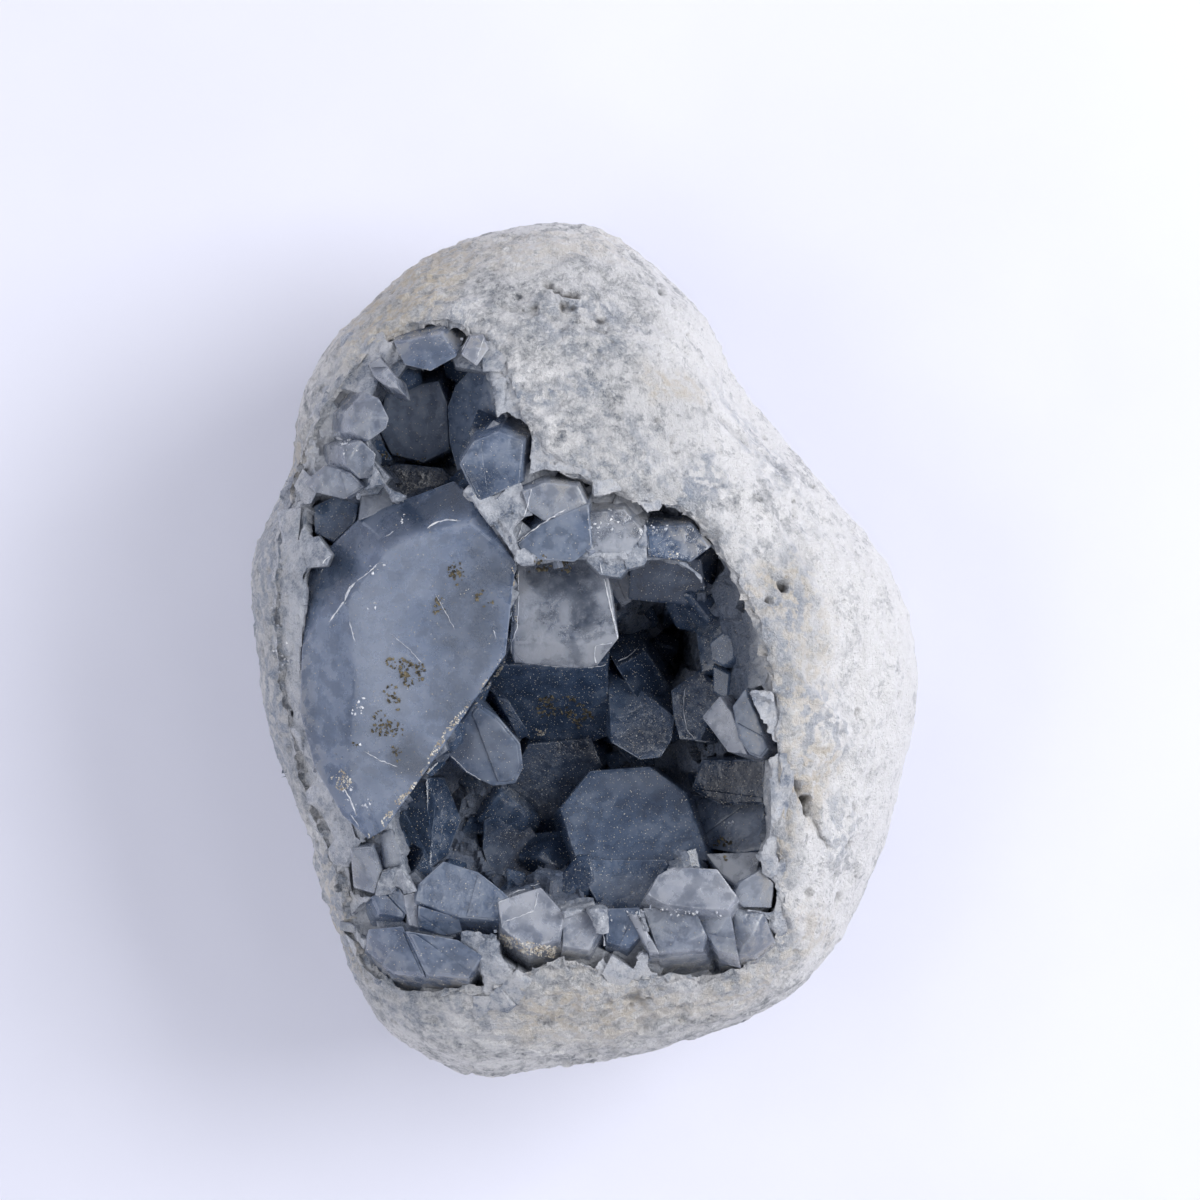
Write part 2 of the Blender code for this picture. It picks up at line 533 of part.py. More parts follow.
def finish(target, colour, roughness):
    """One plain material for a node."""
    material = bpy.data.materials.new(target.name)
    material.use_nodes = True
    shader = material.node_tree.nodes["Principled BSDF"]
    shader.inputs["Base Color"].default_value = (*colour, 1.0)
    shader.inputs["Roughness"].default_value = roughness
    shader.inputs["Metallic"].default_value = 0.0
    target.data.materials.append(material)


def make_rind(geode, cutters):
    rind = new_object("rind", stone(0.0, *STONE_FACES), geode)
    boolean(rind, "DIFFERENCE", new_object("rind_pocket", pocket(0.0), cutters))
    finish(rind, (0.66, 0.66, 0.65), 0.7)


def make_crust(geode, cutters, voids, crystals):
    """The crystals and the mass they grow from, one solid that ends just short of the rind.

    So many crystals cross each other that the exact solver leaves an edge open, so these cuts use the manifold one.
    """
    for name, centre, halves in VOIDS:
        new_object(name, ellipsoid(centre, halves), voids)
    new_object("great_crystal", hull(GREAT_CRYSTAL), crystals)
    new_object("clear_plate", hull(CLEAR_PLATE), crystals)
    for name, height, slopes, length, lean, outline in CRYSTALS:
        new_object(name, hull(crystal_points(height, slopes, length, lean, outline)), crystals)
    for points in small_crystals():
        new_object("small_crystal", hull(points), crystals)
    crust = new_object("crystal_crust", stone(BED_DEPTH, *BED_FACES), geode)
    boolean(crust, "DIFFERENCE", voids, "MANIFOLD")
    boolean(crust, "UNION", crystals, "MANIFOLD")
    boolean(crust, "INTERSECT", new_object("crust_pocket", pocket(GAP), cutters), "MANIFOLD")
    finish(crust, (0.24, 0.30, 0.38), 0.3)


def main():
    for item in list(bpy.data.objects):
        bpy.data.objects.remove(item)
    geode = bpy.data.collections.new("celestite_geode")
    bpy.context.scene.collection.children.link(geode)
    cutters, voids, crystals = (helpers(name) for name in ("cutters", "voids", "crystals"))
    make_rind(geode, cutters)
    make_crust(geode, cutters, voids, crystals)
    for collection in (cutters, voids, crystals):
        hide_helpers(collection)


main()
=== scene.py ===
"""The looks of the celestite geode: its chalky rind, its broken mass and its clear crystals.

Shapes are made in millimetres, in the frame of the solids, and each finished piece is brought
to metres.
"""

import itertools
import json
import math
import random

import bmesh
import bpy
import numpy as np
from mathutils import Matrix, Vector, noise
from mathutils.bvhtree import BVHTree

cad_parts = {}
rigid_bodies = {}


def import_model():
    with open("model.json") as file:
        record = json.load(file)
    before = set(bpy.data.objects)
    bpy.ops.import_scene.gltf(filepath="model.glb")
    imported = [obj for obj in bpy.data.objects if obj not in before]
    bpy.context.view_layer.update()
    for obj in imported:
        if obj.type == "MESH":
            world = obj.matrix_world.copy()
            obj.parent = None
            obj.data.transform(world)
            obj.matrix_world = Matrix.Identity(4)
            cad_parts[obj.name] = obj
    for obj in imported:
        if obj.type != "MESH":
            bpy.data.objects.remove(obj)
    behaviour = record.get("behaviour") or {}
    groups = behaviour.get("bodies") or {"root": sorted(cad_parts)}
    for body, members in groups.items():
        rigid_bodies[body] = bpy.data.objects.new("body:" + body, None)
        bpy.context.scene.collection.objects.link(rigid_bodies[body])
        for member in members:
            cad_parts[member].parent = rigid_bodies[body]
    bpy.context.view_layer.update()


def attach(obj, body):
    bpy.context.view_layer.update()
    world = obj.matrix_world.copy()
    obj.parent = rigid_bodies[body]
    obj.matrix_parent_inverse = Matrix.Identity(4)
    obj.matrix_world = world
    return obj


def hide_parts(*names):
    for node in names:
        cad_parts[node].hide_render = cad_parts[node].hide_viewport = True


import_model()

MM = 0.001

# The stone, as the solids have it
LENGTH = 128.0
WIDTH = 99.5
WIDEST_HEIGHT = 36.0
RISE_ABOVE_WIDEST = 38.0
DROP_BELOW_WIDEST = 37.2
SECTION_POWER = 2.15
PLAN_RADII = (
    (49.5, 47.0, 44.0, 43.8, 46.8, 56.0)
    + (63.5, 64.0, 62.3, 58.6, 53.0, 51.5)
    + (49.2, 49.0, 50.0, 54.3, 63.2, 65.2)
    + (62.5, 61.2, 60.0, 57.0, 53.0, 51.0)
)
SWELLS = (0.016, 1.9)
LUMPS = (0.012, 5.2)
DENTS = (
    ("shoulder_notch", 27.0, 36.0, 50.0, 8.0, 1.6),
    ("top_pit", 5.0, 52.0, 60.0, 4.5, 1.4),
    ("side_pit", 27.0, 10.0, 66.0, 4.0, 1.5),
    ("right_step", 36.0, -6.0, 58.0, 6.5, 1.6),
    ("right_crevice", 31.5, -22.0, 58.0, 4.0, 2.2),
    ("foot_hollow", -8.0, -52.0, 50.0, 7.0, 1.3),
    ("left_scoop", -43.0, 26.0, 40.0, 8.0, 1.4),
    ("left_step", -42.0, -26.0, 36.0, 7.0, 1.8),
)
STONE_FACES = (300, 150)

# The pocket in it, and the open spaces among the crystals
POCKET_CENTRE = (-8.0, -2.0)
POCKET_RIM_HEIGHT = 50.0
POCKET_FLOOR = 14.0
POCKET_POWER = 2.6
POCKET_SIDE_POWER = 8
POCKET_OPEN_HEIGHT = 45.0
POCKET_FACES = (96, 28)
POCKET_LINE = (
    (-30.3, 43.5), (-23.3, 47.0), (-16.2, 45.8), (-11.5, 40.2), (-9.1, 31.0), (-3.4, 24.5),
    (5.1, 21.5), (15.0, 18.7), (20.6, 11.2), (24.6, 1.3), (27.0, -10.0), (26.6, -21.4),
    (26.8, -32.7), (28.4, -41.0), (22.3, -46.0), (9.4, -46.6), (-3.4, -43.8), (-14.9, -48.0),
    (-26.9, -49.0), (-33.2, -43.5), (-34.4, -34.0), (-38.4, -23.6), (-41.6, -13.3), (-43.4, -1.6),
    (-43.8, 8.6), (-43.1, 18.9), (-40.1, 28.4), (-35.6, 37.1),
)
VOIDS = (
    ("main_void", (2.0, -11.0, 66.0), (20.5, 22.0, 31.0)),
    ("lower_left_void", (-15.5, -25.0, 66.0), (12.0, 12.0, 24.0)),
    ("upper_right_void", (10.0, 1.5, 66.0), (8.4, 12.0, 27.0)),
    ("lower_right_void", (20.0, -22.0, 66.0), (6.5, 13.0, 24.0)),
    ("deep_pit", (12.6, 0.1, 50.0), (4.2, 6.2, 26.0)),
    ("side_void", (-21.5, 33.0, 64.0), (9.5, 10.5, 23.0)),
    ("left_void", (-36.0, 19.3, 58.0), (4.6, 4.6, 9.0)),
)
VOID_SIZE = 1.05
VOID_LUMPS = 0.14

# The great crystal and the clear plate, by their corners
GREAT_CRYSTAL = (
    (-33.5, 7.4, 63.6), (-27.6, 14.8, 66.0), (-21.9, 17.2, 68.0), (-15.9, 18.2, 69.6),
    (-9.5, 12.6, 71.6), (-10.9, -0.4, 71.6), (-20.5, -14.4, 68.4), (-28.4, -25.5, 64.2),
    (-30.8, -27.0, 62.4), (-32.3, -4.4, 64.4), (-33.4, -17.4, 62.8), (-34.7, -23.7, 60.0),
    (-38.8, -16.9, 58.2), (-41.0, -8.9, 57.6), (-40.7, -0.1, 58.2), (-38.2, 4.2, 60.0),
    (-40.0, 11.2, 55.0), (-36.0, 15.8, 57.5), (-32.4, 19.1, 59.4), (-26.5, 21.5, 61.6),
    (-18.5, 24.4, 64.2), (-15.6, 21.7, 67.2), (-14.0, -1.5, 46.0), (-22.0, -14.0, 46.0),
    (-29.5, -23.0, 46.0), (-38.0, -12.0, 40.0), (-38.0, 8.0, 40.0), (-20.0, 20.0, 46.0),
    (-13.0, 12.0, 46.0),
)
CLEAR_PLATE = (
    (-9.4, 12.8, 66.5), (3.1, 13.6, 66.5), (5.1, 1.9, 65.0), (1.9, 0.9, 64.6), (-9.9, 1.3, 64.6),
    (2.0, -2.1, 62.4), (-0.1, -2.6, 62.0), (-10.0, -1.7, 62.4), (-10.6, 0.6, 63.0),
    (-9.0, 14.5, 58.0), (3.5, 14.5, 58.0), (4.6, 2.2, 60.0), (-9.5, 0.6, 59.5),
)

# The other crystals, by their end faces.
# Columns: name, finish, height, (slope x, slope y), length, (lean x, lean y), outline
# The deep and dark finishes are darker copies of the crystal paint: painted shade for the crystals deep
# in the hollows and under the rind's overhang
CRYSTALS = (
    # Around the great crystal and on the left wall of the main hollow
    ("knob", "blue", 54.5, (0.10, 0.30), 16, (-0.45, 0.35), (
        (-15.4, -7.7), (-12.2, -10.0), (-9.3, -13.5), (-8.9, -16.9), (-10.0, -19.2),
        (-13.2, -19.6), (-16.9, -17.8), (-20.0, -14.6), (-18.4, -11.8))),
    ("slab", "dark", 51.0, (0.2, 0.5), 12, (-0.5, 0.5), (
        (-12.6, -7.0), (-10.9, -7.4), (-7.9, -12.3), (-9.4, -13.1))),
    ("dusty_left_face", "deep", 50.5, (0.55, -0.12), 14, (-0.4, -0.1), (
        (-27.5, -22.6), (-23.4, -18.7), (-21.6, -22.0), (-22.6, -32.0), (-24.4, -32.4),
        (-26.6, -29.6), (-28.6, -25.4))),
    ("dusty_right_face", "dark", 50.0, (-0.85, -0.1), 14, (-0.2, -0.1), (
        (-23.0, -18.9), (-20.4, -18.9), (-18.1, -25.0), (-19.8, -29.6), (-22.4, -31.6),
        (-22.0, -25.0))),
    # The floor of the main hollow
    ("middle_blade", "deep", 48.0, (0.10, -0.30), 14, (0.0, 0.25), (
        (3.7, -3.4), (8.3, -6.0), (13.2, -9.9), (12.8, -13.1), (11.2, -15.6), (8.3, -15.9),
        (4.2, -13.5))),
    ("middle_blade_flank", "dark", 44.5, (-1.0, 0.2), 10, (0.0, 0.2), (
        (5.0, -2.6), (9.2, -0.4), (13.6, -7.0), (14.2, -11.0), (11.6, -13.0), (8.0, -6.0))),
    ("inner_giant", "deep", 52.0, (0.02, -0.42), 18, (0.1, -0.2), (
        (-3.0, -23.2), (1.2, -18.0), (9.6, -17.4), (12.3, -19.4), (14.7, -21.0), (16.6, -26.9),
        (17.9, -30.2), (11.8, -30.8), (1.2, -30.8), (-0.9, -29.6))),
    ("inner_giant_foot", "deep", 56.8, (0.02, -0.25), 16, (0.0, -0.2), (
        (1.2, -30.4), (11.7, -30.4), (13.0, -33.0), (9.5, -35.8), (8.6, -37.2), (2.6, -37.0),
        (0.9, -34.1))),
    ("lower_middle", "dark", 44.5, (-0.10, -0.35), 12, (0.0, -0.2), (
        (-14.7, -25.4), (-12.5, -24.4), (-9.4, -24.4), (-5.6, -29.8), (-7.3, -34.0),
        (-10.7, -35.6), (-13.8, -32.5), (-14.8, -29.5))),
    ("dark_floor", "dark", 38.5, (-0.12, 0.12), 10, (0.0, 0.0), (
        (-11.8, -21.1), (-8.1, -14.4), (0.9, -13.6), (2.4, -17.4), (-2.0, -23.8),
        (-1.0, -30.1), (-5.4, -30.1), (-9.4, -24.4))),
    ("dark_corner", "dark", 37.0, (0.2, -0.3), 10, (0.0, -0.2), (
        (-5.4, -29.6), (-1.4, -29.0), (1.7, -36.9), (-3.6, -37.7), (-6.6, -35.0))),
    ("back_wall", "deep", 43.5, (0.0, 1.0), 16, (-0.1, 0.5), (
        (-12.4, -2.4), (3.2, -2.0), (3.4, -12.7), (0.9, -13.7), (-8.0, -13.4), (-14.6, -7.5))),
    # The right wall, under the thick side of the rind
    ("right_block", "dark", 59.8, (-0.05, 0.65), 16, (0.25, 0.5), (
        (6.9, 12.1), (8.8, 13.6), (16.7, 13.0), (17.4, 8.5), (15.0, 6.6), (9.5, 7.2), (6.6, 7.5))),
    ("right_block_step", "steel", 53.0, (0.3, 0.5), 12, (0.2, 0.5), (
        (2.8, 12.6), (6.8, 12.6), (6.9, 7.2), (5.6, 6.4), (4.4, 8.0))),
    ("pit_edge", "dark", 52.0, (0.5, -0.1), 12, (0.4, 0.0), (
        (17.6, 8.6), (20.2, 5.0), (20.4, -2.0), (17.2, -3.0), (17.4, 2.4), (16.0, 6.4))),
    ("hooked", "dark", 50.0, (0.2, -0.2), 12, (0.5, 0.0), (
        (12.9, -6.0), (17.0, -3.0), (20.3, -6.0), (17.8, -10.4), (17.0, -13.0), (14.1, -12.9),
        (13.2, -9.7))),
    ("pale_blade", "milky", 62.0, (0.70, 0.0), 12, (0.5, -0.1), (
        (17.2, -9.6), (19.6, -6.6), (21.2, -8.8), (21.8, -12.3), (23.3, -14.6), (20.7, -14.3))),
    ("grey_blade", "blue", 64.5, (0.45, 0.1), 14, (0.4, 0.0), (
        (21.4, -8.0), (23.1, -5.6), (24.8, -9.5), (26.4, -13.8), (25.3, -15.2), (23.7, -14.6),
        (22.2, -12.3))),
    ("right_wall_upper", "dark", 52.0, (0.75, 0.1), 14, (0.5, 0.0), (
        (17.4, -16.2), (25.9, -15.9), (26.2, -22.2), (20.2, -22.6), (16.0, -20.6))),
    ("right_wall_lower", "blue", 50.0, (0.60, -0.3), 14, (0.5, -0.1), (
        (16.2, -21.5), (26.2, -22.2), (25.9, -29.0), (22.6, -29.6), (18.8, -29.0), (17.1, -26.6))),
    # The crystals along the lower rim
    ("glassy_chip", "clear", 61.0, (0.3, -0.4), 12, (0.2, -0.4), (
        (17.8, -29.3), (25.3, -28.9), (24.7, -32.0), (22.7, -34.1), (19.8, -31.9))),
    ("cloudy_lozenge", "milky", 64.5, (0.0, -0.10), 10, (0.0, -0.4), (
        (9.4, -34.7), (10.9, -32.0), (13.0, -30.9), (19.0, -31.2), (21.7, -34.9), (20.4, -36.8),
        (15.9, -36.6), (11.6, -36.0))),
    ("row_first", "blue", 62.5, (0.0, -0.15), 14, (0.0, -0.4), (
        (3.0, -37.0), (8.0, -36.8), (8.6, -40.3), (6.3, -42.4), (3.4, -41.6))),
    ("row_shard", "milky", 63.6, (0.5, 0.0), 10, (0.0, -0.3), (
        (6.3, -37.4), (8.0, -38.1), (10.9, -43.1), (9.5, -43.1))),
    ("row_second", "steel", 63.0, (0.05, -0.25), 14, (0.1, -0.4), (
        (8.7, -36.9), (11.2, -36.8), (16.0, -37.3), (17.3, -40.3), (17.0, -42.6), (10.9, -43.0),
        (9.9, -40.3))),
    ("row_third", "steel", 62.0, (0.35, -0.2), 14, (0.1, -0.4), (
        (16.5, -37.1), (21.0, -37.3), (22.2, -43.7), (19.2, -43.0), (17.4, -40.3))),
    ("row_fourth", "steel", 61.5, (-0.15, -0.2), 14, (0.2, -0.4), (
        (21.4, -36.9), (25.9, -37.9), (27.3, -41.6), (24.8, -43.8), (22.3, -43.7))),
    ("white_cube", "milky", 65.2, (0.10, -0.12), 14, (0.0, -0.4), (
        (-12.0, -35.8), (-9.9, -35.0), (-6.1, -33.8), (-2.8, -37.4), (-3.6, -40.8), (-7.7, -42.1),
        (-11.5, -39.4))),
    ("white_cube_small", "milky", 64.5, (-0.2, 0.1), 12, (0.0, -0.4), (
        (-2.8, -38.2), (0.6, -36.6), (2.6, -39.8), (0.8, -42.6), (-2.8, -42.0))),
    ("speckled_plate", "blue", 63.2, (0.15, 0.05), 12, (-0.1, -0.4), (
        (-23.8, -35.7), (-23.3, -33.3), (-19.9, -30.2), (-15.0, -31.7), (-11.8, -34.2),
        (-10.2, -35.8), (-12.1, -38.4), (-17.9, -38.0))),
    ("dark_wedge", "blue", 61.5, (0.15, 0.4), 12, (0.0, -0.4), (
        (-23.6, -36.5), (-17.9, -38.3), (-17.6, -40.2), (-20.0, -40.9), (-23.6, -39.7))),
    ("upright_prism", "steel", 60.5, (0.5, 0.2), 14, (-0.3, -0.1), (
        (-28.9, -26.4), (-27.5, -25.5), (-26.3, -28.9), (-26.0, -30.7), (-28.5, -31.2))),
    ("bright_edge", "milky", 61.0, (-0.2, 0.1), 12, (-0.1, -0.3), (
        (-25.8, -35.1), (-24.0, -34.7), (-23.7, -39.7), (-25.0, -39.3))),
    ("left_foot_facet", "blue", 59.5, (0.6, 0.2), 12, (-0.2, -0.3), (
        (-30.6, -35.5), (-26.6, -34.1), (-24.9, -36.3), (-25.9, -38.4), (-29.5, -38.0))),
    ("lower_facet_left", "blue", 58.3, (0.6, 0.5), 14, (-0.1, -0.4), (
        (-31.0, -40.4), (-26.0, -39.6), (-23.0, -46.6), (-27.6, -46.6), (-31.5, -43.5))),
    ("lower_facet_middle", "blue", 62.5, (0.28, 0.5), 14, (-0.1, -0.4), (
        (-25.2, -40.2), (-18.0, -41.3), (-14.6, -43.5), (-16.6, -46.8), (-22.4, -46.4))),
    # The bridge between the two hollows
    ("bridge_wedge", "blue", 71.8, (0.2, -0.15), 14, (0.0, 0.3), (
        (-9.1, 15.3), (-5.4, 18.3), (0.6, 20.7), (1.1, 14.8), (-1.3, 12.8), (-7.7, 13.2))),
    ("bridge_left", "blue", 69.9, (0.15, -0.12), 12, (0.1, 0.2), (
        (-17.4, 26.6), (-15.5, 29.7), (-12.0, 31.1), (-8.6, 29.7), (-9.1, 24.0), (-14.8, 21.4))),
    ("bridge_middle", "steel", 71.8, (-0.1, 0.15), 12, (0.0, 0.2), (
        (-8.4, 22.6), (-5.4, 23.8), (-0.9, 23.4), (0.6, 20.6), (-5.5, 18.6), (-7.6, 20.0))),
    ("bridge_sparkle", "clear", 71.6, (-0.1, -0.15), 12, (0.0, 0.3), (
        (0.9, 19.5), (5.8, 20.0), (8.5, 16.9), (6.5, 13.8), (1.6, 14.0))),
    ("bridge_right", "deep", 69.7, (-0.2, -0.25), 18, (0.1, 0.2), (
        (8.9, 17.6), (15.1, 17.9), (17.8, 14.8), (15.1, 12.8), (9.4, 13.5))),
    # The side hollow
    ("side_right_wall", "blue", 56.5, (0.85, 0.0), 16, (0.4, 0.0), (
        (-19.7, 35.4), (-18.6, 38.3), (-15.6, 41.4), (-13.8, 39.8), (-12.8, 36.1), (-12.4, 32.0),
        (-15.1, 27.9), (-18.3, 26.4), (-19.4, 30.3))),
    ("side_floor", "blue", 51.0, (0.05, 0.20), 12, (0.0, 0.1), (
        (-28.7, 37.6), (-21.3, 39.1), (-20.1, 36.1), (-19.8, 29.5), (-23.5, 27.7), (-28.0, 28.9),
        (-29.8, 32.4))),
    ("side_lower", "dark", 50.0, (0.0, -0.20), 14, (0.0, -0.3), (
        (-29.9, 26.2), (-27.3, 27.4), (-21.0, 26.7), (-18.6, 24.8), (-26.5, 21.6), (-28.7, 23.0))),
    ("tooth", "milky", 60.9, (0.45, -0.55), 5, (0.2, -0.2), (
        (-31.0, 41.4), (-29.4, 42.4), (-27.2, 39.6), (-26.7, 37.8), (-28.0, 38.0), (-30.2, 39.6))),
    ("glassy_ball", "steel", 62.5, (0.15, 0.0), 12, (-0.4, 0.0), (
        (-34.0, 34.4), (-31.6, 37.2), (-29.3, 36.2), (-27.9, 33.4), (-28.3, 32.0), (-30.7, 30.3),
        (-33.4, 31.7))),
    ("glassy_wedge", "steel", 61.5, (0.1, 0.2), 12, (-0.4, 0.0), (
        (-34.5, 29.4), (-31.9, 30.2), (-29.8, 28.3), (-30.4, 25.0), (-32.1, 24.9), (-34.0, 26.8))),
    ("left_pale", "steel", 59.8, (0.35, 0.0), 12, (0.3, 0.1), (
        (-40.6, 24.4), (-37.3, 26.7), (-33.7, 25.6), (-31.7, 23.6), (-34.4, 21.9), (-38.5, 22.9))),
    ("left_dark", "deep", 55.0, (0.3, -0.3), 10, (0.0, 0.0), (
        (-39.2, 20.9), (-36.2, 22.4), (-32.8, 21.2), (-33.2, 18.7), (-36.2, 15.9), (-38.9, 17.2))),
    ("left_steel", "steel", 60.2, (0.2, -0.3), 10, (0.0, 0.1), (
        (-31.8, 22.7), (-28.7, 23.7), (-27.0, 21.2), (-30.5, 19.5), (-32.3, 18.8))),
    ("far_overhang", "blue", 61.5, (0.35, -0.5), 10, (0.0, 0.5), (
        (-27.2, 44.4), (-20.4, 45.4), (-18.3, 42.2), (-21.9, 40.2), (-25.6, 41.2))),
    ("left_filler", "steel", 59.4, (0.8, 0.3), 8, (0.0, 0.0), (
        (-33.6, -28.6), (-30.4, -28.2), (-29.2, -31.6), (-30.2, -34.8), (-33.2, -34.2))),
    ("right_filler", "steel", 62.4, (-0.3, 0.3), 8, (0.0, 0.0), (
        (22.4, -33.2), (25.4, -31.4), (27.2, -33.4), (26.8, -36.8), (23.0, -36.6), (21.6, -35.2))),
    ("far_prism", "milky", 69.0, (0.1, -0.2), 10, (0.0, 0.2), (
        (-17.4, 42.4), (-16.2, 45.0), (-14.4, 45.2), (-13.6, 43.2), (-15.2, 40.8))),
)
END_SPREAD = 1.04
CROWN_SPREAD = 1.075
CROWN_DROP = 1.1
ROOT_SPREAD = 1.42
PROUD = 0.7
CORNER_PROUD = 0.25

# The broken mass between the crystals: how far it lies under the stone's surface, and how far
# it reaches past the pocket line
BED_DEPTH = 0.7
BED_REACH = 3.0

# Room that the mass leaves round each crystal: a deep socket under it, and a clearing round
# its end face
SOCKET_DEPTH = 9.0
SOCKET_SHARE = 0.93
CLEARING_DROP = 0.5
CLEARING_STEPS = ((1.0, 0.0), (1.15, -7.0))
# Walls of the main hollow that slope down inward: the mass is cut above these planes
SLOPING_WALLS = (
    ((27.8, 14.0, 66.0), (27.8, -6.0, 67.4), (17.0, 11.0, 57.5), (18.0, -5.0, 56.5)),
    ((17.0, 19.5, 68.0), (27.8, 13.0, 66.0), (13.0, 14.0, 63.0), (18.0, 10.0, 57.0)),
    ((-8.0, -36.6, 61.0), (9.2, -36.6, 61.4), (-6.0, -29.6, 50.0), (12.4, -30.4, 55.0)),
)
SLOPE_ROOM = 16.0
# Room over the great crystal and the clear plate: from which height, how far under, how far up
GREAT_ROOM = (54.0, 0.8, 12.0)
PLATE_ROOM = (62.2, 0.8, 10.0)
SOCKET_RISE = 4.0

# Fineness of the two rough surfaces, and the most triangles that each keeps
RIND_VOXEL = 0.55
BED_VOXEL = 0.38
MOST_TRIANGLES = 190000

# Worn edges of the crystals, and the longest edges on the great crystal and on the others
EDGE_WIDTH = 0.22
EDGE_ANGLE = math.radians(16)
LONGEST_ON_GREAT = 0.9
LONGEST = 1.3
PAVING_FAMILY = 1000
WALL_FAMILY = 3000


def periodic(values, turn):
    """A smooth closed curve through evenly spaced values, read at a share of the full turn."""
    count = len(values)
    place = (turn % 1.0) * count
    first = int(place)
    t = place - first
    a, b, c, d = (values[(first + k) % count] for k in (-1, 0, 1, 2))
    bend = (2 * a - 5 * b + 4 * c - d) * t * t
    twist = (3 * b - a - 3 * c + d) * t * t * t
    return 0.5 * (2 * b + (c - a) * t + bend + twist)


def stone_radius(direction):
    """Distance from the middle of the stone's widest plane to its surface, before the dents."""
    turn = math.atan2(direction.y, direction.x) / math.tau
    level = math.hypot(direction.x, direction.y)
    tall = RISE_ABOVE_WIDEST if direction.z > 0 else DROP_BELOW_WIDEST
    across = (level / periodic(PLAN_RADII, turn)) ** SECTION_POWER
    upward = (abs(direction.z) / tall) ** SECTION_POWER
    radius = (across + upward) ** (-1 / SECTION_POWER)
    swell = SWELLS[0] * noise.noise(direction * SWELLS[1])
    lump = LUMPS[0] * noise.noise(direction * LUMPS[1])
    return radius * (1 + swell + lump)


def dent_depth(point):
    """How far the dents push a surface point in."""
    depth = 0.0
    for _, x, y, z, width, deep in DENTS:
        distance = (point - Vector((x, y, z))).length
        depth += deep * math.exp(-((distance / width) ** 2))
    return depth


def stone(inset):
    """A builder for the whole stone, moved in by the inset, with its flat resting spot."""

    def build(shape):
        around, upward = STONE_FACES
        bmesh.ops.create_uvsphere(shape, u_segments=around, v_segments=upward, radius=1.0)
        for vert in shape.verts:
            direction = vert.co.normalized()
            radius = stone_radius(direction)
            surface = direction * radius + Vector((0, 0, WIDEST_HEIGHT))
            radius -= dent_depth(surface) + inset
            vert.co = direction * radius + Vector((0, 0, WIDEST_HEIGHT))
        for axis, size in ((0, WIDTH), (1, LENGTH)):
            low = min(vert.co[axis] for vert in shape.verts)
            high = max(vert.co[axis] for vert in shape.verts)
            share = (size - 2 * inset) / (high - low)
            for vert in shape.verts:
                vert.co[axis] = (vert.co[axis] - (low + high) / 2) * share
        cut = bmesh.ops.bisect_plane(
            shape,
            geom=shape.verts[:] + shape.edges[:] + shape.faces[:],
            plane_co=(0, 0, inset),
            plane_no=(0, 0, 1),
            clear_inner=True,
        )
        rim = [item for item in cut["geom_cut"] if isinstance(item, bmesh.types.BMEdge)]
        bmesh.ops.contextual_create(shape, geom=rim)

    return build


def stone_top(x, y):
    """Height of the stone's upper surface over a plan point, leaving out its lumps."""
    turn = math.atan2(y, x) / math.tau
    share = min(math.hypot(x, y) / periodic(PLAN_RADII, turn), 0.98)
    return WIDEST_HEIGHT + RISE_ABOVE_WIDEST * (1 - share**SECTION_POWER) ** (1 / SECTION_POWER)


def pocket_reach(turn):
    """Distance from the pocket's centre to its plan line, eased between the line's points."""
    centre_x, centre_y = POCKET_CENTRE
    seen = sorted(
        (math.atan2(y - centre_y, x - centre_x), math.hypot(x - centre_x, y - centre_y))
        for x, y in POCKET_LINE
    )
    for (here, near), (there, far) in zip(seen, seen[1:] + seen[:1]):
        span = (there - here) % math.tau
        gone = (turn - here) % math.tau
        if gone <= span:
            share = gone / span
            share = share * share * (3 - 2 * share)
            return near * (1 - share) + far * share
    return seen[0][1]


def pocket(inset):
    """A builder for the bowl that the crystals fill, open far above the stone."""

    def build(shape):
        around, upward = POCKET_FACES
        bmesh.ops.create_uvsphere(shape, u_segments=around, v_segments=upward, radius=1.0)
        for vert in shape.verts:
            turn = math.atan2(vert.co.y, vert.co.x)
            radius = pocket_reach(turn) - inset
            rise = vert.co.z
            if rise > 0:
                share = math.sqrt(max(0.0, 1 - rise**POCKET_SIDE_POWER))
                height = POCKET_RIM_HEIGHT + rise * POCKET_OPEN_HEIGHT
            else:
                share = max(0.0, 1 - abs(rise) ** POCKET_POWER) ** (1 / POCKET_POWER)
                height = POCKET_RIM_HEIGHT + rise * (POCKET_RIM_HEIGHT - POCKET_FLOOR - inset)
            vert.co = Vector((
                POCKET_CENTRE[0] + radius * share * math.cos(turn),
                POCKET_CENTRE[1] + radius * share * math.sin(turn),
                height,
            ))

    return build


def ellipsoid(centre, halves):
    """A builder for a lumpy open space."""

    def build(shape):
        bmesh.ops.create_icosphere(shape, subdivisions=4, radius=1.0)
        for vert in shape.verts:
            swell = VOID_SIZE + VOID_LUMPS * noise.noise(vert.co * 1.7 + Vector(centre))
            vert.co = Vector(
                centre[axis] + vert.co[axis] * halves[axis] * swell for axis in range(3)
            )

    return build


def hull(points):
    """A builder for the flat-faced solid that just holds the points."""

    def build(shape):
        for point in points:
            shape.verts.new(point)
        found = bmesh.ops.convex_hull(shape, input=shape.verts)
        spare = set(found["geom_interior"]) | set(found["geom_unused"])
        loose = [item for item in spare if isinstance(item, bmesh.types.BMVert)]
        bmesh.ops.delete(shape, geom=loose, context="VERTS")

    return build


def middle_of(outline):
    return sum(x for x, _ in outline) / len(outline), sum(y for _, y in outline) / len(outline)


def worn_height(height, middle):
    """The height of a crystal's end face, worn down where it would stand out of the stone."""
    return min(height, stone_top(*middle) + PROUD)


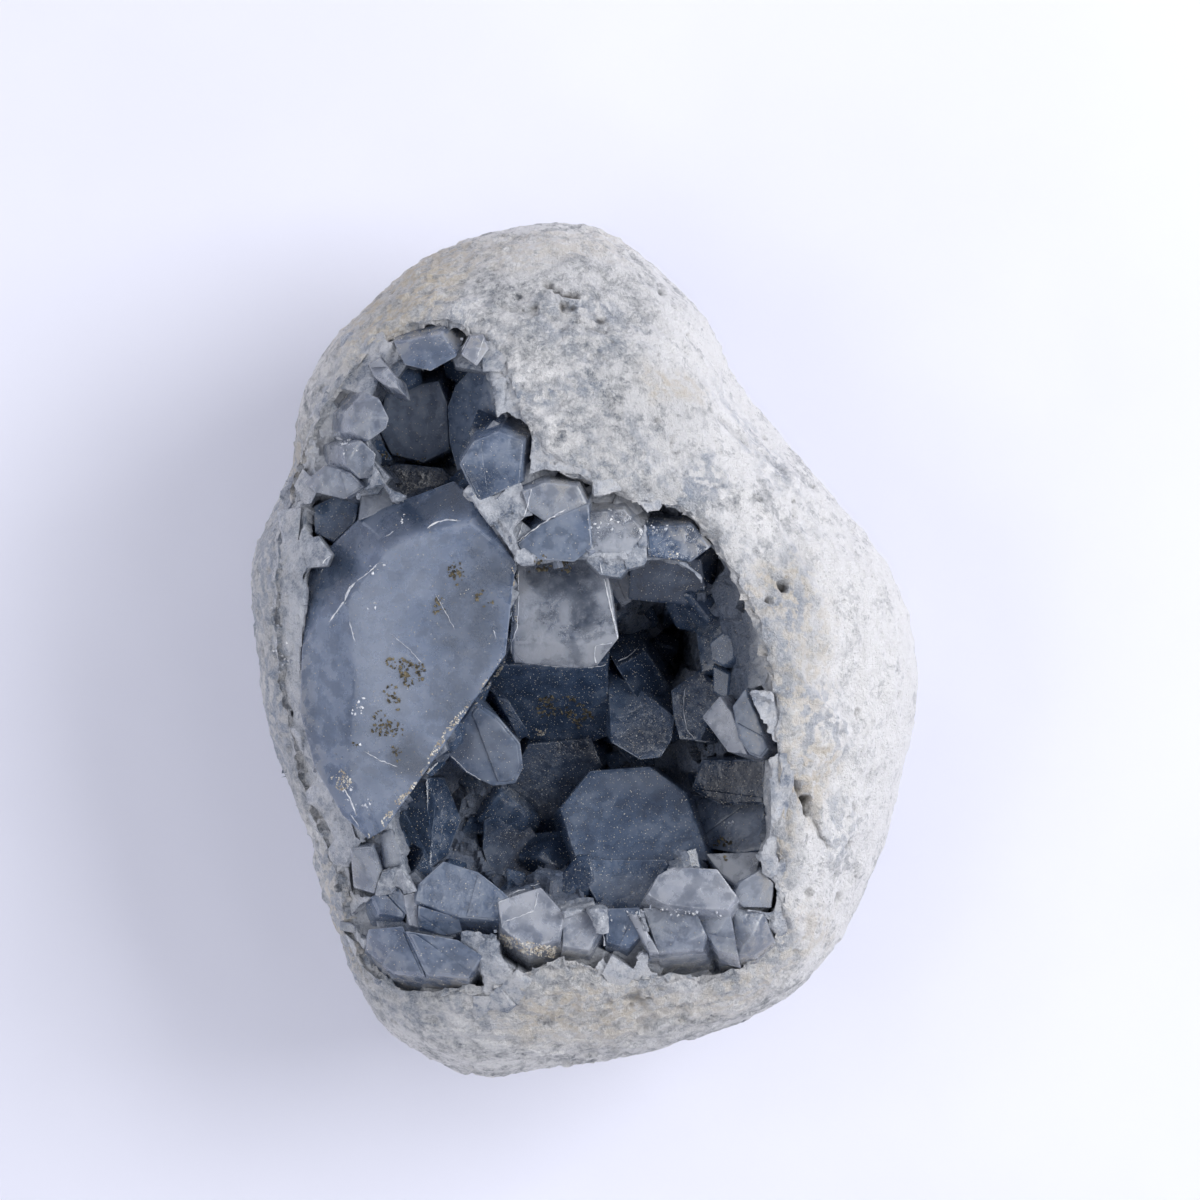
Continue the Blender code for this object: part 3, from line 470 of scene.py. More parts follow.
def rings(middle, outline, height, slopes, steps, lean=(0.0, 0.0), worn=False):
    """The corners of an outline drawn again round its middle. Steps: how wide, how far down."""
    points = []
    for spread, drop in steps:
        for x, y in outline:
            out_x, out_y = (x - middle[0]) * spread, (y - middle[1]) * spread
            level = height + (slopes[0] * out_x + slopes[1] * out_y) - drop
            if worn:
                top = stone_top(middle[0] + out_x, middle[1] + out_y)
                level = min(level, top + CORNER_PROUD - drop)
            points.append((
                middle[0] + out_x + lean[0] * drop, middle[1] + out_y + lean[1] * drop, level,
            ))
    return points


def crystal_points(height, slopes, length, lean, outline):
    """The corners of one crystal: its end face, the wider crown under it, and its root."""
    middle = middle_of(outline)
    height = worn_height(height, middle)
    steps = ((END_SPREAD, 0.0), (CROWN_SPREAD, CROWN_DROP), (ROOT_SPREAD, length))
    return rings(middle, outline, height, slopes, steps, lean, True) + [(*middle, height)]


def socket_points(points, depth):
    """A crystal's corners drawn in a little and raised, for the socket that it sits in."""
    middle = sum((Vector(point) for point in points), Vector()) / len(points)
    top = max(point[2] for point in points)
    inner = [middle + (Vector(point) - middle) * SOCKET_SHARE for point in points]
    for point in inner:
        point.z = max(point.z, top - depth)
    return [tuple(point) for point in inner] + [(p.x, p.y, p.z + SOCKET_RISE) for p in inner]


def clearing_points(height, slopes, outline):
    """Room over and round one crystal's end face, opening upward."""
    middle = middle_of(outline)
    height = worn_height(height, middle) - CLEARING_DROP
    return rings(middle, outline, height, slopes, CLEARING_STEPS)


def above(points, lowest, drop, rise):
    """Room over the upper corners of a crystal, from a little under its faces."""
    upper = [point for point in points if point[2] > lowest]
    return [(x, y, z - drop) for x, y, z in upper] + [(x, y, z + rise) for x, y, z in upper]


def kept(name, shape, collection=None):
    """A named object with the shape as its mesh."""
    mesh = bpy.data.meshes.new(name)
    shape.to_mesh(mesh)
    shape.free()
    made = bpy.data.objects.new(name, mesh)
    (collection or bpy.context.scene.collection).objects.link(made)
    return made


def new_object(name, mesh_builder, collection=None):
    """A named object with the mesh that the builder shapes, in millimetres."""
    shape = bmesh.new()
    mesh_builder(shape)
    bmesh.ops.recalc_face_normals(shape, faces=shape.faces)
    return kept(name, shape, collection)


def drop_loose(shape):
    """Removes the corners that no face uses."""
    loose = [vert for vert in shape.verts if not vert.link_faces]
    bmesh.ops.delete(shape, geom=loose, context="VERTS")


def group(name, builders):
    """A collection of helper solids for a Boolean."""
    made = bpy.data.collections.new(name)
    bpy.context.scene.collection.children.link(made)
    for number, builder in enumerate(builders):
        new_object(f"{name}_{number}", builder, made)
    return made


def boolean(target, operation, other):
    """Joins, cuts or trims the target by another object, or by every object in a collection."""
    step = target.modifiers.new(operation.lower(), "BOOLEAN")
    step.operation = operation
    step.solver = "MANIFOLD"
    if isinstance(other, bpy.types.Collection):
        step.operand_type = "COLLECTION"
        step.collection = other
    else:
        step.object = other


def remesh(target, voxel):
    """Gives the target one even skin of small faces."""
    step = target.modifiers.new("even_skin", "REMESH")
    step.mode = "VOXEL"
    step.voxel_size = voxel


def settle(target):
    """Turns the target's modifiers into its mesh."""
    bpy.context.view_layer.update()
    graph = bpy.context.evaluated_depsgraph_get()
    mesh = bpy.data.meshes.new_from_object(target.evaluated_get(graph))
    target.modifiers.clear()
    target.data = mesh
    return target


def discard(*items):
    """Removes helper objects, and collections with all that is in them."""
    for item in items:
        if isinstance(item, bpy.types.Collection):
            discard(*list(item.objects))
            bpy.data.collections.remove(item)
        else:
            bpy.data.objects.remove(item)


def points_of(mesh):
    points = np.empty(len(mesh.vertices) * 3, np.float32)
    mesh.vertices.foreach_get("co", points)
    return points.reshape(-1, 3).astype(np.float64)


def normals_of(mesh):
    normals = np.empty(len(mesh.vertices) * 3, np.float32)
    mesh.vertex_normals.foreach_get("vector", normals)
    return normals.reshape(-1, 3).astype(np.float64)


def move_points(mesh, points):
    mesh.vertices.foreach_set("co", points.astype(np.float32).ravel())
    mesh.update()


def mark(mesh, name, values):
    """Keeps one number for each vertex, for the material to read."""
    layer = mesh.attributes.new(name, "FLOAT", "POINT")
    layer.data.foreach_set("value", np.clip(values, 0, 1).astype(np.float32))


def random_share(cells, seed):
    """A repeatable random number from 0 to 1 for each whole-numbered cell."""
    x, y, z = (cells[:, axis].astype(np.uint64) for axis in range(3))
    mixed = x * np.uint64(73856093) ^ y * np.uint64(19349663) ^ z * np.uint64(83492791)
    mixed ^= np.uint64(seed * 2654435761 + 97)
    mixed = (mixed ^ (mixed >> np.uint64(13))) * np.uint64(1274126177)
    mixed ^= mixed >> np.uint64(16)
    return (mixed & np.uint64(0xFFFF)).astype(np.float64) / 0xFFFF


def lumps(points, size, seed):
    """Smooth noise from -1 to 1, with lumps of one size."""
    place = points / size
    base = np.floor(place).astype(np.int64)
    part = place - base
    part = part * part * (3 - 2 * part)
    total = np.zeros(len(points))
    for corner in itertools.product((0, 1), repeat=3):
        share = np.where(corner, part, 1 - part).prod(axis=1)
        total += share * random_share(base + corner, seed)
    return 2 * total - 1


def rough(points, size, octaves, seed, keep=0.55):
    """Noise from -1 to 1 that adds ever finer lumps."""
    total = np.zeros(len(points))
    most = 0.0
    for octave in range(octaves):
        weight = keep**octave
        total += weight * lumps(points, size / 2**octave, seed + 31 * octave)
        most += weight
    return total / most


def mosaic(points, size, seed):
    """Cells round scattered seeds.

    Gives the way from each point's seed, how near its cell's border is, and the cell.
    """
    place = points / size
    base = np.floor(place).astype(np.int64)
    nearest = np.full(len(points), np.inf)
    second = np.full(len(points), np.inf)
    away = np.zeros_like(points)
    own = np.zeros_like(base)
    for step in itertools.product((-1, 0, 1), repeat=3):
        cell = base + step
        seeds = cell + np.stack([random_share(cell, seed + axis) for axis in range(3)], axis=1)
        gap = place - seeds
        distance = np.abs(gap).max(axis=1) * 0.5 + np.linalg.norm(gap, axis=1) * 0.5
        closer = distance < nearest
        second = np.where(closer, nearest, np.minimum(second, distance))
        nearest = np.where(closer, distance, nearest)
        away[closer] = gap[closer]
        own[closer] = cell[closer]
    return away * size, (second - nearest) * size, own


def facets(points, size, seed, level, slope):
    """A surface of tilted flat cells: its height, how near the border is, and the cell's shade."""
    away, border, own = mosaic(points, size, seed)
    tilt = np.stack([random_share(own, seed + 11 + axis) - 0.5 for axis in range(3)], axis=1)
    height = level * (random_share(own, seed + 7) - 0.5) + slope * (tilt * away).sum(axis=1)
    return height, border, random_share(own, seed + 17)


def ease(values, low, high):
    """0 below low, 1 above high, and smooth between."""
    share = np.clip((values - low) / (high - low), 0, 1)
    return share * share * (3 - 2 * share)


def patch(points, x, y, half_x, half_y, turn=0.0, edge=0.5):
    """1 in the middle of a patch of the plan, 0 outside it, with a soft edge."""
    angle = math.radians(turn)
    out_x, out_y = points[:, 0] - x, points[:, 1] - y
    along = out_x * math.cos(angle) + out_y * math.sin(angle)
    across = out_y * math.cos(angle) - out_x * math.sin(angle)
    return 1 - ease(np.hypot(along / half_x, across / half_y), 1 - edge, 1 + edge)


def patches(points, table, ragged=2.0):
    """The strongest of several patches over each point, with ragged edges."""
    shift = np.stack(
        [ragged * rough(points, 5.0, 3, seed) for seed in (401, 402)] + [np.zeros(len(points))],
        axis=1,
    )
    moved = points + shift
    total = np.zeros(len(points))
    for _, x, y, half_x, half_y, turn, strength in table:
        total = np.maximum(total, strength * patch(moved, x, y, half_x, half_y, turn))
    return total


def outside_pocket(points):
    """How far each point lies outside the pocket line in plan, less than 0 inside it."""
    steps = 360
    turns = np.arange(steps + 1) * (math.tau / steps) - math.pi
    reaches = np.array([pocket_reach(turn) for turn in turns])
    out_x, out_y = points[:, 0] - POCKET_CENTRE[0], points[:, 1] - POCKET_CENTRE[1]
    return np.hypot(out_x, out_y) - np.interp(np.arctan2(out_y, out_x), turns, reaches)


def under_top(points):
    """How far each point lies under the stone's upper surface, leaving out its lumps."""
    grid_x = np.linspace(-52, 52, 105)
    grid_y = np.linspace(-66, 66, 133)
    tops = np.array([[stone_top(x, y) for x in grid_x] for y in grid_y])
    place_x = np.clip(points[:, 0] + 52, 0, 103.999)
    place_y = np.clip(points[:, 1] + 66, 0, 131.999)
    left, low = place_x.astype(int), place_y.astype(int)
    share_x, share_y = place_x - left, place_y - low
    lower = tops[low, left] * (1 - share_x) + tops[low, left + 1] * share_x
    upper = tops[low + 1, left] * (1 - share_x) + tops[low + 1, left + 1] * share_x
    return lower * (1 - share_y) + upper * share_y - points[:, 2]


def thin_out(target, most):
    """Spends fewer triangles where the surface is flat, down to the most that the piece keeps."""
    count = sum(len(face.vertices) - 2 for face in target.data.polygons)
    if count > most:
        step = target.modifiers.new("thin_out", "DECIMATE")
        step.ratio = most / count
        settle(target)
    return target


# Patches of the rind. Columns: name, x, y, half sizes, turn, strength
BEIGE_STAINS = (
    ("upper_left_edge", -26.0, 52.0, 13.0, 4.5, 38, 0.9),
    ("left_rim", -44.0, 30.0, 3.0, 9.0, 20, 0.5),
    ("foot", -1.0, -52.0, 12.0, 5.5, 0, 0.75),
    ("foot_right", 12.0, -52.0, 9.0, 3.0, 8, 0.5),
    ("pit_rim", 28.0, 9.0, 5.0, 4.0, 0, 0.7),
    ("shoulder", 13.0, 38.0, 5.0, 2.2, -25, 0.6),
    ("crevice_rim", 33.5, -18.0, 3.2, 6.0, 0, 0.75),
    ("lower_right", 32.0, -41.0, 4.5, 4.0, 30, 0.5),
    ("right_band", 28.8, -25.0, 2.6, 8.0, 0, 0.6),
    ("right_inner", 31.0, -4.0, 4.0, 16.0, -8, 0.5),
    ("top_edge", -6.0, 59.0, 14.0, 3.0, 5, 0.45),
    ("right_foot", 24.0, -49.0, 9.0, 2.6, 32, 0.5),
    ("left_foot", -36.0, -40.0, 3.0, 8.0, 20, 0.45),
)
BLUE_ZONES = (
    ("over_bridge", 15.7, 23.8, 6.0, 2.6, 8, 0.9),
    ("small_window", 18.2, 27.4, 1.2, 1.5, 0, 0.8),
    ("left_of_shoulder", -7.5, 36.8, 4.5, 3.2, 0, 0.85),
    ("shoulder_window", -0.5, 38.4, 2.8, 2.0, 0, 0.7),
    ("right_plane", 31.5, -9.0, 7.5, 4.4, -35, 0.7),
    ("lower_right_specks", 37.5, -26.0, 2.5, 6.0, 0, 0.55),
    ("upper_right_band", 25.0, 30.0, 10.0, 1.8, -52, 0.4),
    ("left_skin_upper", -44.5, 14.0, 6.0, 14.0, 0, 1.0),
    ("left_skin_middle", -46.0, -4.0, 5.0, 16.0, 0, 1.0),
    ("left_skin_lower", -38.0, -36.0, 5.5, 16.0, 24, 0.9),
    ("right_inner_upper", 29.5, 6.0, 4.0, 10.0, -14, 0.8),
    ("right_inner", 29.5, -14.0, 3.6, 8.0, 0, 0.7),
    ("foot_left", -24.0, -51.0, 12.0, 4.5, -18, 0.6),
    ("top_of_side_hollow", -16.0, 46.5, 7.0, 4.0, -15, 0.6),
    ("top_grey", 0.0, 47.0, 9.0, 5.0, -10, 0.55),
    ("between_hollows", 3.0, 29.0, 9.0, 6.0, -20, 0.5),
)
# Pits pushed into the rind, and painted near black in them as painted shade
DARK_PITS = (
    ("top_pits", -5.0, 51.5, 5.5, 2.4, -8, 0.9),
    ("top_pits_right", 1.5, 49.5, 4.5, 1.8, -15, 0.9),
    ("top_shadow", 0.5, 44.5, 4.0, 3.0, 0, 0.5),
    ("side_pits", 27.5, 8.6, 2.6, 1.5, 20, 1.0),
    ("crevice", 33.0, -22.5, 1.0, 4.2, 22, 1.0),
    ("foot_pits", 8.0, -50.5, 5.0, 2.0, 0, 0.6),
    ("shoulder_pits", 12.0, 29.0, 2.0, 1.2, 0, 0.6),
    ("left_edge_pits", -40.0, -30.0, 1.5, 6.0, 15, 0.5),
)
GREY_ZONES = (
    ("top", -2.0, 50.0, 15.0, 9.0, -10, 0.75),
    ("middle", 6.0, 35.0, 12.0, 10.0, -30, 0.75),
    ("upper_left", -24.0, 52.0, 9.0, 5.0, 35, 0.6),
    ("over_bridge", 12.0, 26.0, 10.0, 5.0, -10, 0.6),
    ("left", -45.0, 0.0, 7.0, 34.0, 0, 0.8),
    ("foot", -2.0, -53.0, 30.0, 8.0, 0, 0.65),
    ("foot_left", -28.0, -48.0, 12.0, 8.0, -30, 0.9),
    ("right_band", 29.4, -24.0, 3.4, 10.0, 0, 1.0),
    ("right_slope", 28.0, 2.0, 4.4, 13.0, -12, 1.0),
)
# The chalky, whiter side of the rind, towards the light: chalky streaks, and whiter paint that is in
# part a painted lit side
CHALKY_LIT_SIDE = (
    ("right_side", 49.0, -4.0, 21.0, 42.0, 12, 1.0),
    ("shoulder_top", 22.0, 40.0, 16.0, 12.0, -40, 0.85),
    ("far_end", 0.0, 58.0, 14.0, 6.0, 0, 0.45),
    ("over_bridge_chalk", 18.0, 30.0, 8.0, 5.0, -20, 0.8),
    ("lower_right_chalk", 35.0, -38.0, 9.0, 11.0, 20, 0.9),
)
# Folds of the rind by lines in plan. Columns: name, how wide, how high (less than 0 cuts in), line
FOLDS = (
    ("plane_edge", 0.55, 0.55, ((29.6, -2.3), (33.4, -7.2), (38.2, -12.3))),
    ("plane_edge_low", 0.5, 0.45, ((31.0, -5.9), (34.6, -8.0), (37.5, -10.9))),
    ("plane_foot", 0.6, 0.4, ((30.4, -11.8), (34.0, -13.2), (37.4, -13.0))),
    ("crevice", 0.38, -0.75, (
        (30.7, -18.8), (32.2, -21.6), (33.1, -23.8), (34.2, -26.7), (35.6, -28.6))),
    ("crevice_lip", 0.7, 0.45, ((31.9, -18.2), (33.6, -21.4), (34.6, -24.6))),
    ("band_edge", 0.4, -0.5, ((29.0, -15.0), (29.8, -20.0), (29.4, -27.0))),
    ("shoulder_line", 0.5, -0.5, ((20.0, 34.0), (24.0, 30.4), (29.6, 26.6))),
    ("upper_right_line", 0.5, 0.4, ((24.6, 22.0), (30.0, 15.0), (33.0, 8.4))),
    ("top_line", 0.5, -0.5, ((-12.0, 49.6), (-4.0, 48.4), (3.0, 46.0))),
)


def folds(points, normals):
    """Height of the rind's ridges and cracks where it looks up."""
    shift = 0.5 * np.stack([rough(points, 2.4, 2, seed) for seed in (411, 412)], axis=1)
    places = points[:, :2] + shift
    total = np.zeros(len(points))
    for _, width, high, line in FOLDS:
        nearest = np.full(len(points), np.inf)
        for start, end in zip(line, line[1:]):
            start, along = np.array(start), np.array(end) - np.array(start)
            share = np.clip((places - start) @ along / (along @ along), 0, 1)
            away = np.linalg.norm(places - start - share[:, None] * along, axis=1)
            nearest = np.minimum(nearest, away)
        total += high * np.exp(-((nearest / width) ** 2))
    return total * (normals[:, 2] > 0.1)


def make_rind_skin():
    """The worn outside of the stone, with its lumps, streaks, pits and chalky grains."""
    skin = new_object("rind_skin", stone(0.0))
    opening = new_object("opening", pocket(0.0))
    boolean(skin, "DIFFERENCE", opening)
    remesh(skin, RIND_VOXEL)
    settle(skin)
    discard(opening)
    mesh = skin.data
    points, normals = points_of(mesh), normals_of(mesh)
    depth = under_top(points)
    outside = outside_pocket(points)
    shown = np.maximum(ease(outside, -0.6, 0.4), ease(depth, 40.0, 44.0))
    shown *= ease(points[:, 2], 0.6, 3.0)

    pits = patches(points, DARK_PITS, 1.2)
    # whiter towards the lit right side: chalky streaks, and in part a painted lit side
    chalk = patches(points, CHALKY_LIT_SIDE, 5.0)
    beige = patches(points, BEIGE_STAINS, 2.6)
    blue = patches(points, BLUE_ZONES, 2.2)
    grey = patches(points, GREY_ZONES, 4.0)
    rim = ease(outside + 2.6 * rough(points, 4.5, 3, 61), 7.5, 0.0)

    broken, border, shade = facets(points, 3.4, 21, 0.34, 0.20)
    small, small_border, small_shade = facets(points, 1.5, 57, 0.15, 0.15)
    swell = 0.55 * rough(points, 9.0, 3, 3)
    grains = 0.22 * rough(points, 1.7, 2, 5)
    crust = 0.55 * (0.5 - np.abs(rough(points, 3.6, 3, 83)) * 2)
    crust *= ease(rough(points, 8.0, 2, 87), -0.5, 0.4)
    along = points * np.array([1.0, 0.28, 0.6])
    streaks = 0.55 * chalk * rough(along, 1.8, 3, 9)
    worn = ease(rough(points, 14.0, 2, 15), -0.35, 0.35)
    hollows = -1.0 * pits * ease(rough(points, 1.9, 2, 33), 0.0, 0.35)
    scattered = -0.4 * ease(rough(points * np.array([1.0, 1.0, 0.6]), 2.2, 3, 77), 0.42, 0.66)
    ragged = -ease(outside, 3.2, 0.0) * (0.7 + 0.8 * ease(rough(points, 2.6, 2, 91), -0.15, 0.4))
    folded = folds(points, normals)
    height = swell + grains + crust + streaks + hollows + scattered + ragged + folded
    height += (1 - 0.75 * chalk) * worn * broken + (1 - 0.5 * chalk) * small
    move_points(mesh, points + normals * (height * shown - 0.25)[:, None])

    # painted shade: near black in the pits, in the cut-in cracks and in the scattered dents
    dark = np.maximum(pits * ease(-hollows, 0.25, 0.8), 0.6 * ease(-folded, 0.25, 0.9))
    mark(mesh, "pit", dark + 0.6 * ease(-scattered, 0.2, 0.5))
    mark(mesh, "chalk", chalk)
    mark(mesh, "beige", beige)
    mark(mesh, "blue", np.maximum(blue, 0.6 * rim))
    mark(mesh, "grey", grey)
    mark(mesh, "rim", rim)
    mark(mesh, "shade", 0.6 * shade + 0.4 * small_shade)
    mark(mesh, "border", 1 - ease(np.minimum(border, 2.2 * small_border), 0.0, 0.55))
    return thin_out(skin, MOST_TRIANGLES)


# Patches of the mass of crystals. Columns: name, x, y, half sizes, turn, strength
PALE_ZONES = (
    ("bridge", -7.0, 26.0, 9.0, 7.0, 0, 0.35),
    ("bridge_right", 6.0, 22.0, 11.0, 5.0, -10, 0.4),
    ("left_strip_upper", -38.0, 27.0, 5.0, 8.0, 0, 0.4),
    ("left_strip", -42.5, 2.0, 3.5, 20.0, 0, 0.4),
    ("left_strip_lower", -36.5, -22.0, 4.0, 10.0, 12, 0.5),
    ("foot_middle", -2.0, -44.0, 9.0, 5.0, 0, 0.8),
    ("foot_right", 14.0, -45.0, 10.0, 3.0, 0, 0.7),
    ("foot_left", -16.0, -47.5, 6.0, 2.0, 0, 0.5),
    ("left_foot_rim", -33.0, -38.0, 1.6, 7.0, 0, 0.6),
    ("right_ledge", 26.5, -20.0, 2.2, 20.0, 0, 0.4),
    ("upper_right_ledge", 21.5, 10.0, 2.5, 8.0, 30, 0.6),
    ("far_end", -22.0, 46.0, 8.0, 2.5, 10, 0.55),
)


def all_crystals():
    """The corners of every named crystal, with its finish."""
    yield "great", GREAT_CRYSTAL
    yield "clear", CLEAR_PLATE
    for _, finish, height, slopes, length, lean, outline in CRYSTALS:
        yield finish, crystal_points(height, slopes, length, lean, outline)


def clearings():
    """Builders for the room round every named crystal."""
    yield hull(above(GREAT_CRYSTAL, *GREAT_ROOM))
    yield hull(above(CLEAR_PLATE, *PLATE_ROOM))
    for _, _, height, slopes, _, _, outline in CRYSTALS:
        yield hull(clearing_points(height, slopes, outline))
    for corners in SLOPING_WALLS:
        yield hull([(x, y, z + rise) for x, y, z in corners for rise in (0.0, SLOPE_ROOM)])


def make_crystal_bed():
    """The broken, frosted mass between the crystals, from the hollows to the rind."""
    bed = new_object("crystal_bed", stone(BED_DEPTH))
    spaces = group("spaces", [ellipsoid(centre, halves) for _, centre, halves in VOIDS])
    sockets = group(
        "sockets", [hull(socket_points(points, SOCKET_DEPTH)) for _, points in all_crystals()]
    )
    rooms = group("rooms", clearings())
    bowl = new_object("bowl", pocket(-BED_REACH))
    boolean(bed, "DIFFERENCE", spaces)
    boolean(bed, "DIFFERENCE", sockets)
    boolean(bed, "DIFFERENCE", rooms)
    boolean(bed, "INTERSECT", bowl)
    remesh(bed, BED_VOXEL)
    settle(bed)
    mesh = bed.data
    points, normals = points_of(mesh), normals_of(mesh)
    under = BVHTree.FromObject(bowl, bpy.context.evaluated_depsgraph_get())
    hidden = np.array([under.find_nearest(Vector(point), 2.0)[3] or 2.0 for point in points])
    discard(spaces, sockets, rooms, bowl)
    shown = ease(hidden, 0.4, 1.2)
    depth = under_top(points)
    outside = outside_pocket(points)
    inner = ease(depth, 4.0, 9.0)

    big, big_border, big_shade = facets(points, 5.6, 121, 1.0, 0.42)
    small, small_border, small_shade = facets(points, 2.4, 157, 0.42, 0.36)
    fine = 0.05 * rough(points, 0.9, 2, 105)
    height = (0.5 + 1.1 * inner) * big + (0.5 + 0.2 * inner) * small + fine
    move_points(mesh, points + normals * (height * shown)[:, None])

    # deep: how far into the hollows the mass lies; the frosted paint darkens with it as painted shade
    mark(mesh, "deep", inner * ease(hidden, 1.0, 2.0))
    mark(mesh, "pale", patches(points, PALE_ZONES, 2.4))
    mark(mesh, "rim", ease(outside, -4.0, 0.5) * (1 - inner))
    mark(mesh, "upper", ease(outside, 0.0, -2.0) * (1 - inner) * ease(hidden, 1.0, 2.0))
    mark(mesh, "shade", 0.65 * big_shade + 0.35 * small_shade)
    mark(mesh, "border", 1 - ease(np.minimum(big_border, 2.0 * small_border), 0.0, 0.4))
    return thin_out(bed, MOST_TRIANGLES)


def clipped(outline, across, limit):
    """The part of an outline that lies on one side of a straight line."""
    part = []
    for start, end in zip(outline, outline[1:] + outline[:1]):
        before, after = (x * across[0] + y * across[1] - limit for x, y in (start, end))
        if before > 0:
            part.append(start)
        if before * after < 0:
            share = before / (before - after)
            part.append(tuple(a + (b - a) * share for a, b in zip(start, end)))
    return part


# Growth plates: the share of crystals without one, how high, how far off the middle, and
# their steps
PLAIN_SHARE = 0.5
PLATE_RISE = (0.08, 0.3)
PLATE_SHIFT = (-0.5, 1.6)
PLATE_STEPS = ((0.94, 0.0), (1.0, 1.2), (1.02, 5.0))


def growth_plate(dice, height, slopes, lean, outline):
    """The corners of a thin plate that stands on part of a crystal's end face, where it has one."""
    middle = middle_of(outline)
    if dice.random() < PLAIN_SHARE:
        return None
    height = worn_height(height, middle) + dice.uniform(*PLATE_RISE)
    turn = dice.uniform(0, math.tau)
    across = (math.cos(turn), math.sin(turn))
    limit = middle[0] * across[0] + middle[1] * across[1] + dice.uniform(*PLATE_SHIFT)
    part = clipped(outline, across, limit)
    return rings(middle, part, height, slopes, PLATE_STEPS, lean) if len(part) > 2 else None


def small_crystal(dice, place, normal, radius, proud):
    """The corners of a small blocky crystal on a surface, with a slanting end and a wider root."""
    axis = (Vector(normal) + Vector((0, 0, 0.8))).normalized()
    spin = Matrix.Rotation(dice.uniform(0, math.tau), 3, "Z")
    turn = Vector((0, 0, 1)).rotation_difference(axis).to_matrix() @ spin
    sides = dice.choice((4, 4, 5, 6))
    slender = dice.uniform(0.5, 0.85)
    slope = (dice.uniform(-0.45, 0.45), dice.uniform(-0.45, 0.45))
    angles = [math.tau * (side + dice.uniform(-0.25, 0.25)) / sides for side in range(sides)]
    points = []
    for spread, height in ((0.9, proud), (1.05, proud - 0.7), (1.2, -4.0)):
        for angle in angles:
            x, y = radius * spread * math.cos(angle), radius * spread * slender * math.sin(angle)
            tilt = slope[0] * x + slope[1] * y if height > -2 else 0.0
            points.append(tuple(Vector(place) + turn @ Vector((x, y, height + tilt))))
    return points


# Crystals of the hollow walls: how many, half sizes, how proud, finishes (the darker ones, as painted
# shade in the hollows)
WALL_CRYSTALS = 120
WALL_SIZES = (2.2, 4.6)
WALL_PROUD = (0.3, 2.0)
WALL_FINISHES = ("deep", "dark", "dark")
LEAST_APART = 0.72


def inside_planes(points, solid):
    """Which points lie inside a flat-faced solid."""
    shape = bmesh.new()
    hull(solid)(shape)
    bmesh.ops.recalc_face_normals(shape, faces=shape.faces)
    normals = np.array([face.normal for face in shape.faces])
    offsets = np.array([face.normal.dot(face.verts[0].co) for face in shape.faces])
    shape.free()
    return (points @ normals.T - offsets).max(axis=1) < 0


def wall_crystals(bed):
    """Blocky crystals on the walls and floors of the hollows, with their finishes."""
    mesh = bed.data
    points, normals = points_of(mesh), normals_of(mesh)
    free = np.ones(len(points), bool)
    for _, solid in all_crystals():
        free &= ~inside_planes(points, solid)
    free &= (outside_pocket(points) < -2.6) & (normals[:, 2] > -0.3)
    free &= ~((points[:, 2] > 58) & np.array([on_a_slope(x, y) for x, y, _ in points]))
    dice = random.Random(41)
    layer = np.empty(len(points), np.float32)
    mesh.attributes["deep"].data.foreach_get("value", layer)
    choice = np.flatnonzero((layer > 0.6) & free)
    taken = []
    for _ in range(WALL_CRYSTALS * 12):
        number = choice[dice.randrange(len(choice))]
        radius = dice.uniform(*WALL_SIZES)
        place = points[number]
        gaps = ((np.linalg.norm(place - other), radius + size) for other, size in taken)
        if any(gap < LEAST_APART * sizes for gap, sizes in gaps):
            continue
        taken.append((place, radius))
        finish = dice.choice(WALL_FINISHES)
        proud = dice.uniform(*WALL_PROUD)
        yield finish, small_crystal(dice, place, normals[number], radius, proud)
        if len(taken) == WALL_CRYSTALS:
            return


# The pavement: worn crystals side by side between the named ones, up to the rind's edge.
# How far apart, in which part of the plan, and over lumps of which size they lie
PAVING_GAPS = (1.9, 3.9)
PAVING_TRIES = 12000
PAVING_SPAN = ((-49, 34), (-54, 52))
PAVING_LUMPS = 9
# How far past the pocket line, on the left and from the right side on
PAVING_REACH = 3.0
PAVING_REACH_RIGHT = -1.0
RIGHT_SIDE = 8.0
# How deep they lie, the grooves between, their steps and tilts, and the steepest stone they lie on
PAVING_DEPTH = 0.35
PAVING_GROOVE = 0.45
PAVING_STEPS = (-0.25, 0.2)
PAVING_TILT = 0.16
PAVING_STEEPEST = 1.5
PAVING_RINGS = ((0.7, 0.0), (1.03, 0.0), (1.14, 5.0))
# How far each stays under a named crystal, from how high over it, and how far down it may go
PAVING_CLEAR = 0.35
PAVING_SIGHT = 4.0
PAVING_LOWEST = 3.6
SKY_HEIGHT = 120.0


def in_a_hollow(x, y, z):
    for _, centre, halves in VOIDS:
        if sum(((a - b) / (c * VOID_SIZE)) ** 2 for a, b, c in zip((x, y, z), centre, halves)) < 1:
            return True
    return False


# Where the pavement leaves deeper crystals bare. Columns: name, x, y, half sizes
BARE_PLACES = (
    ("giant_foot", 4.6, -33.2, 8.6, 3.4),
    ("dark_corner", -3.0, -33.0, 5.0, 3.6),
    ("left_foot", -27.0, -30.0, 3.0, 5.0),
    ("right_wall", 22.0, -12.0, 6.0, 20.0),
    ("side_lower", -24.6, 24.4, 4.8, 2.8),
    ("plate_top", -3.4, 12.4, 7.4, 4.0),
)


def in_the_bare(x, y):
    return any(((x - a) / c) ** 2 + ((y - b) / d) ** 2 < 1 for _, a, b, c, d in BARE_PLACES)


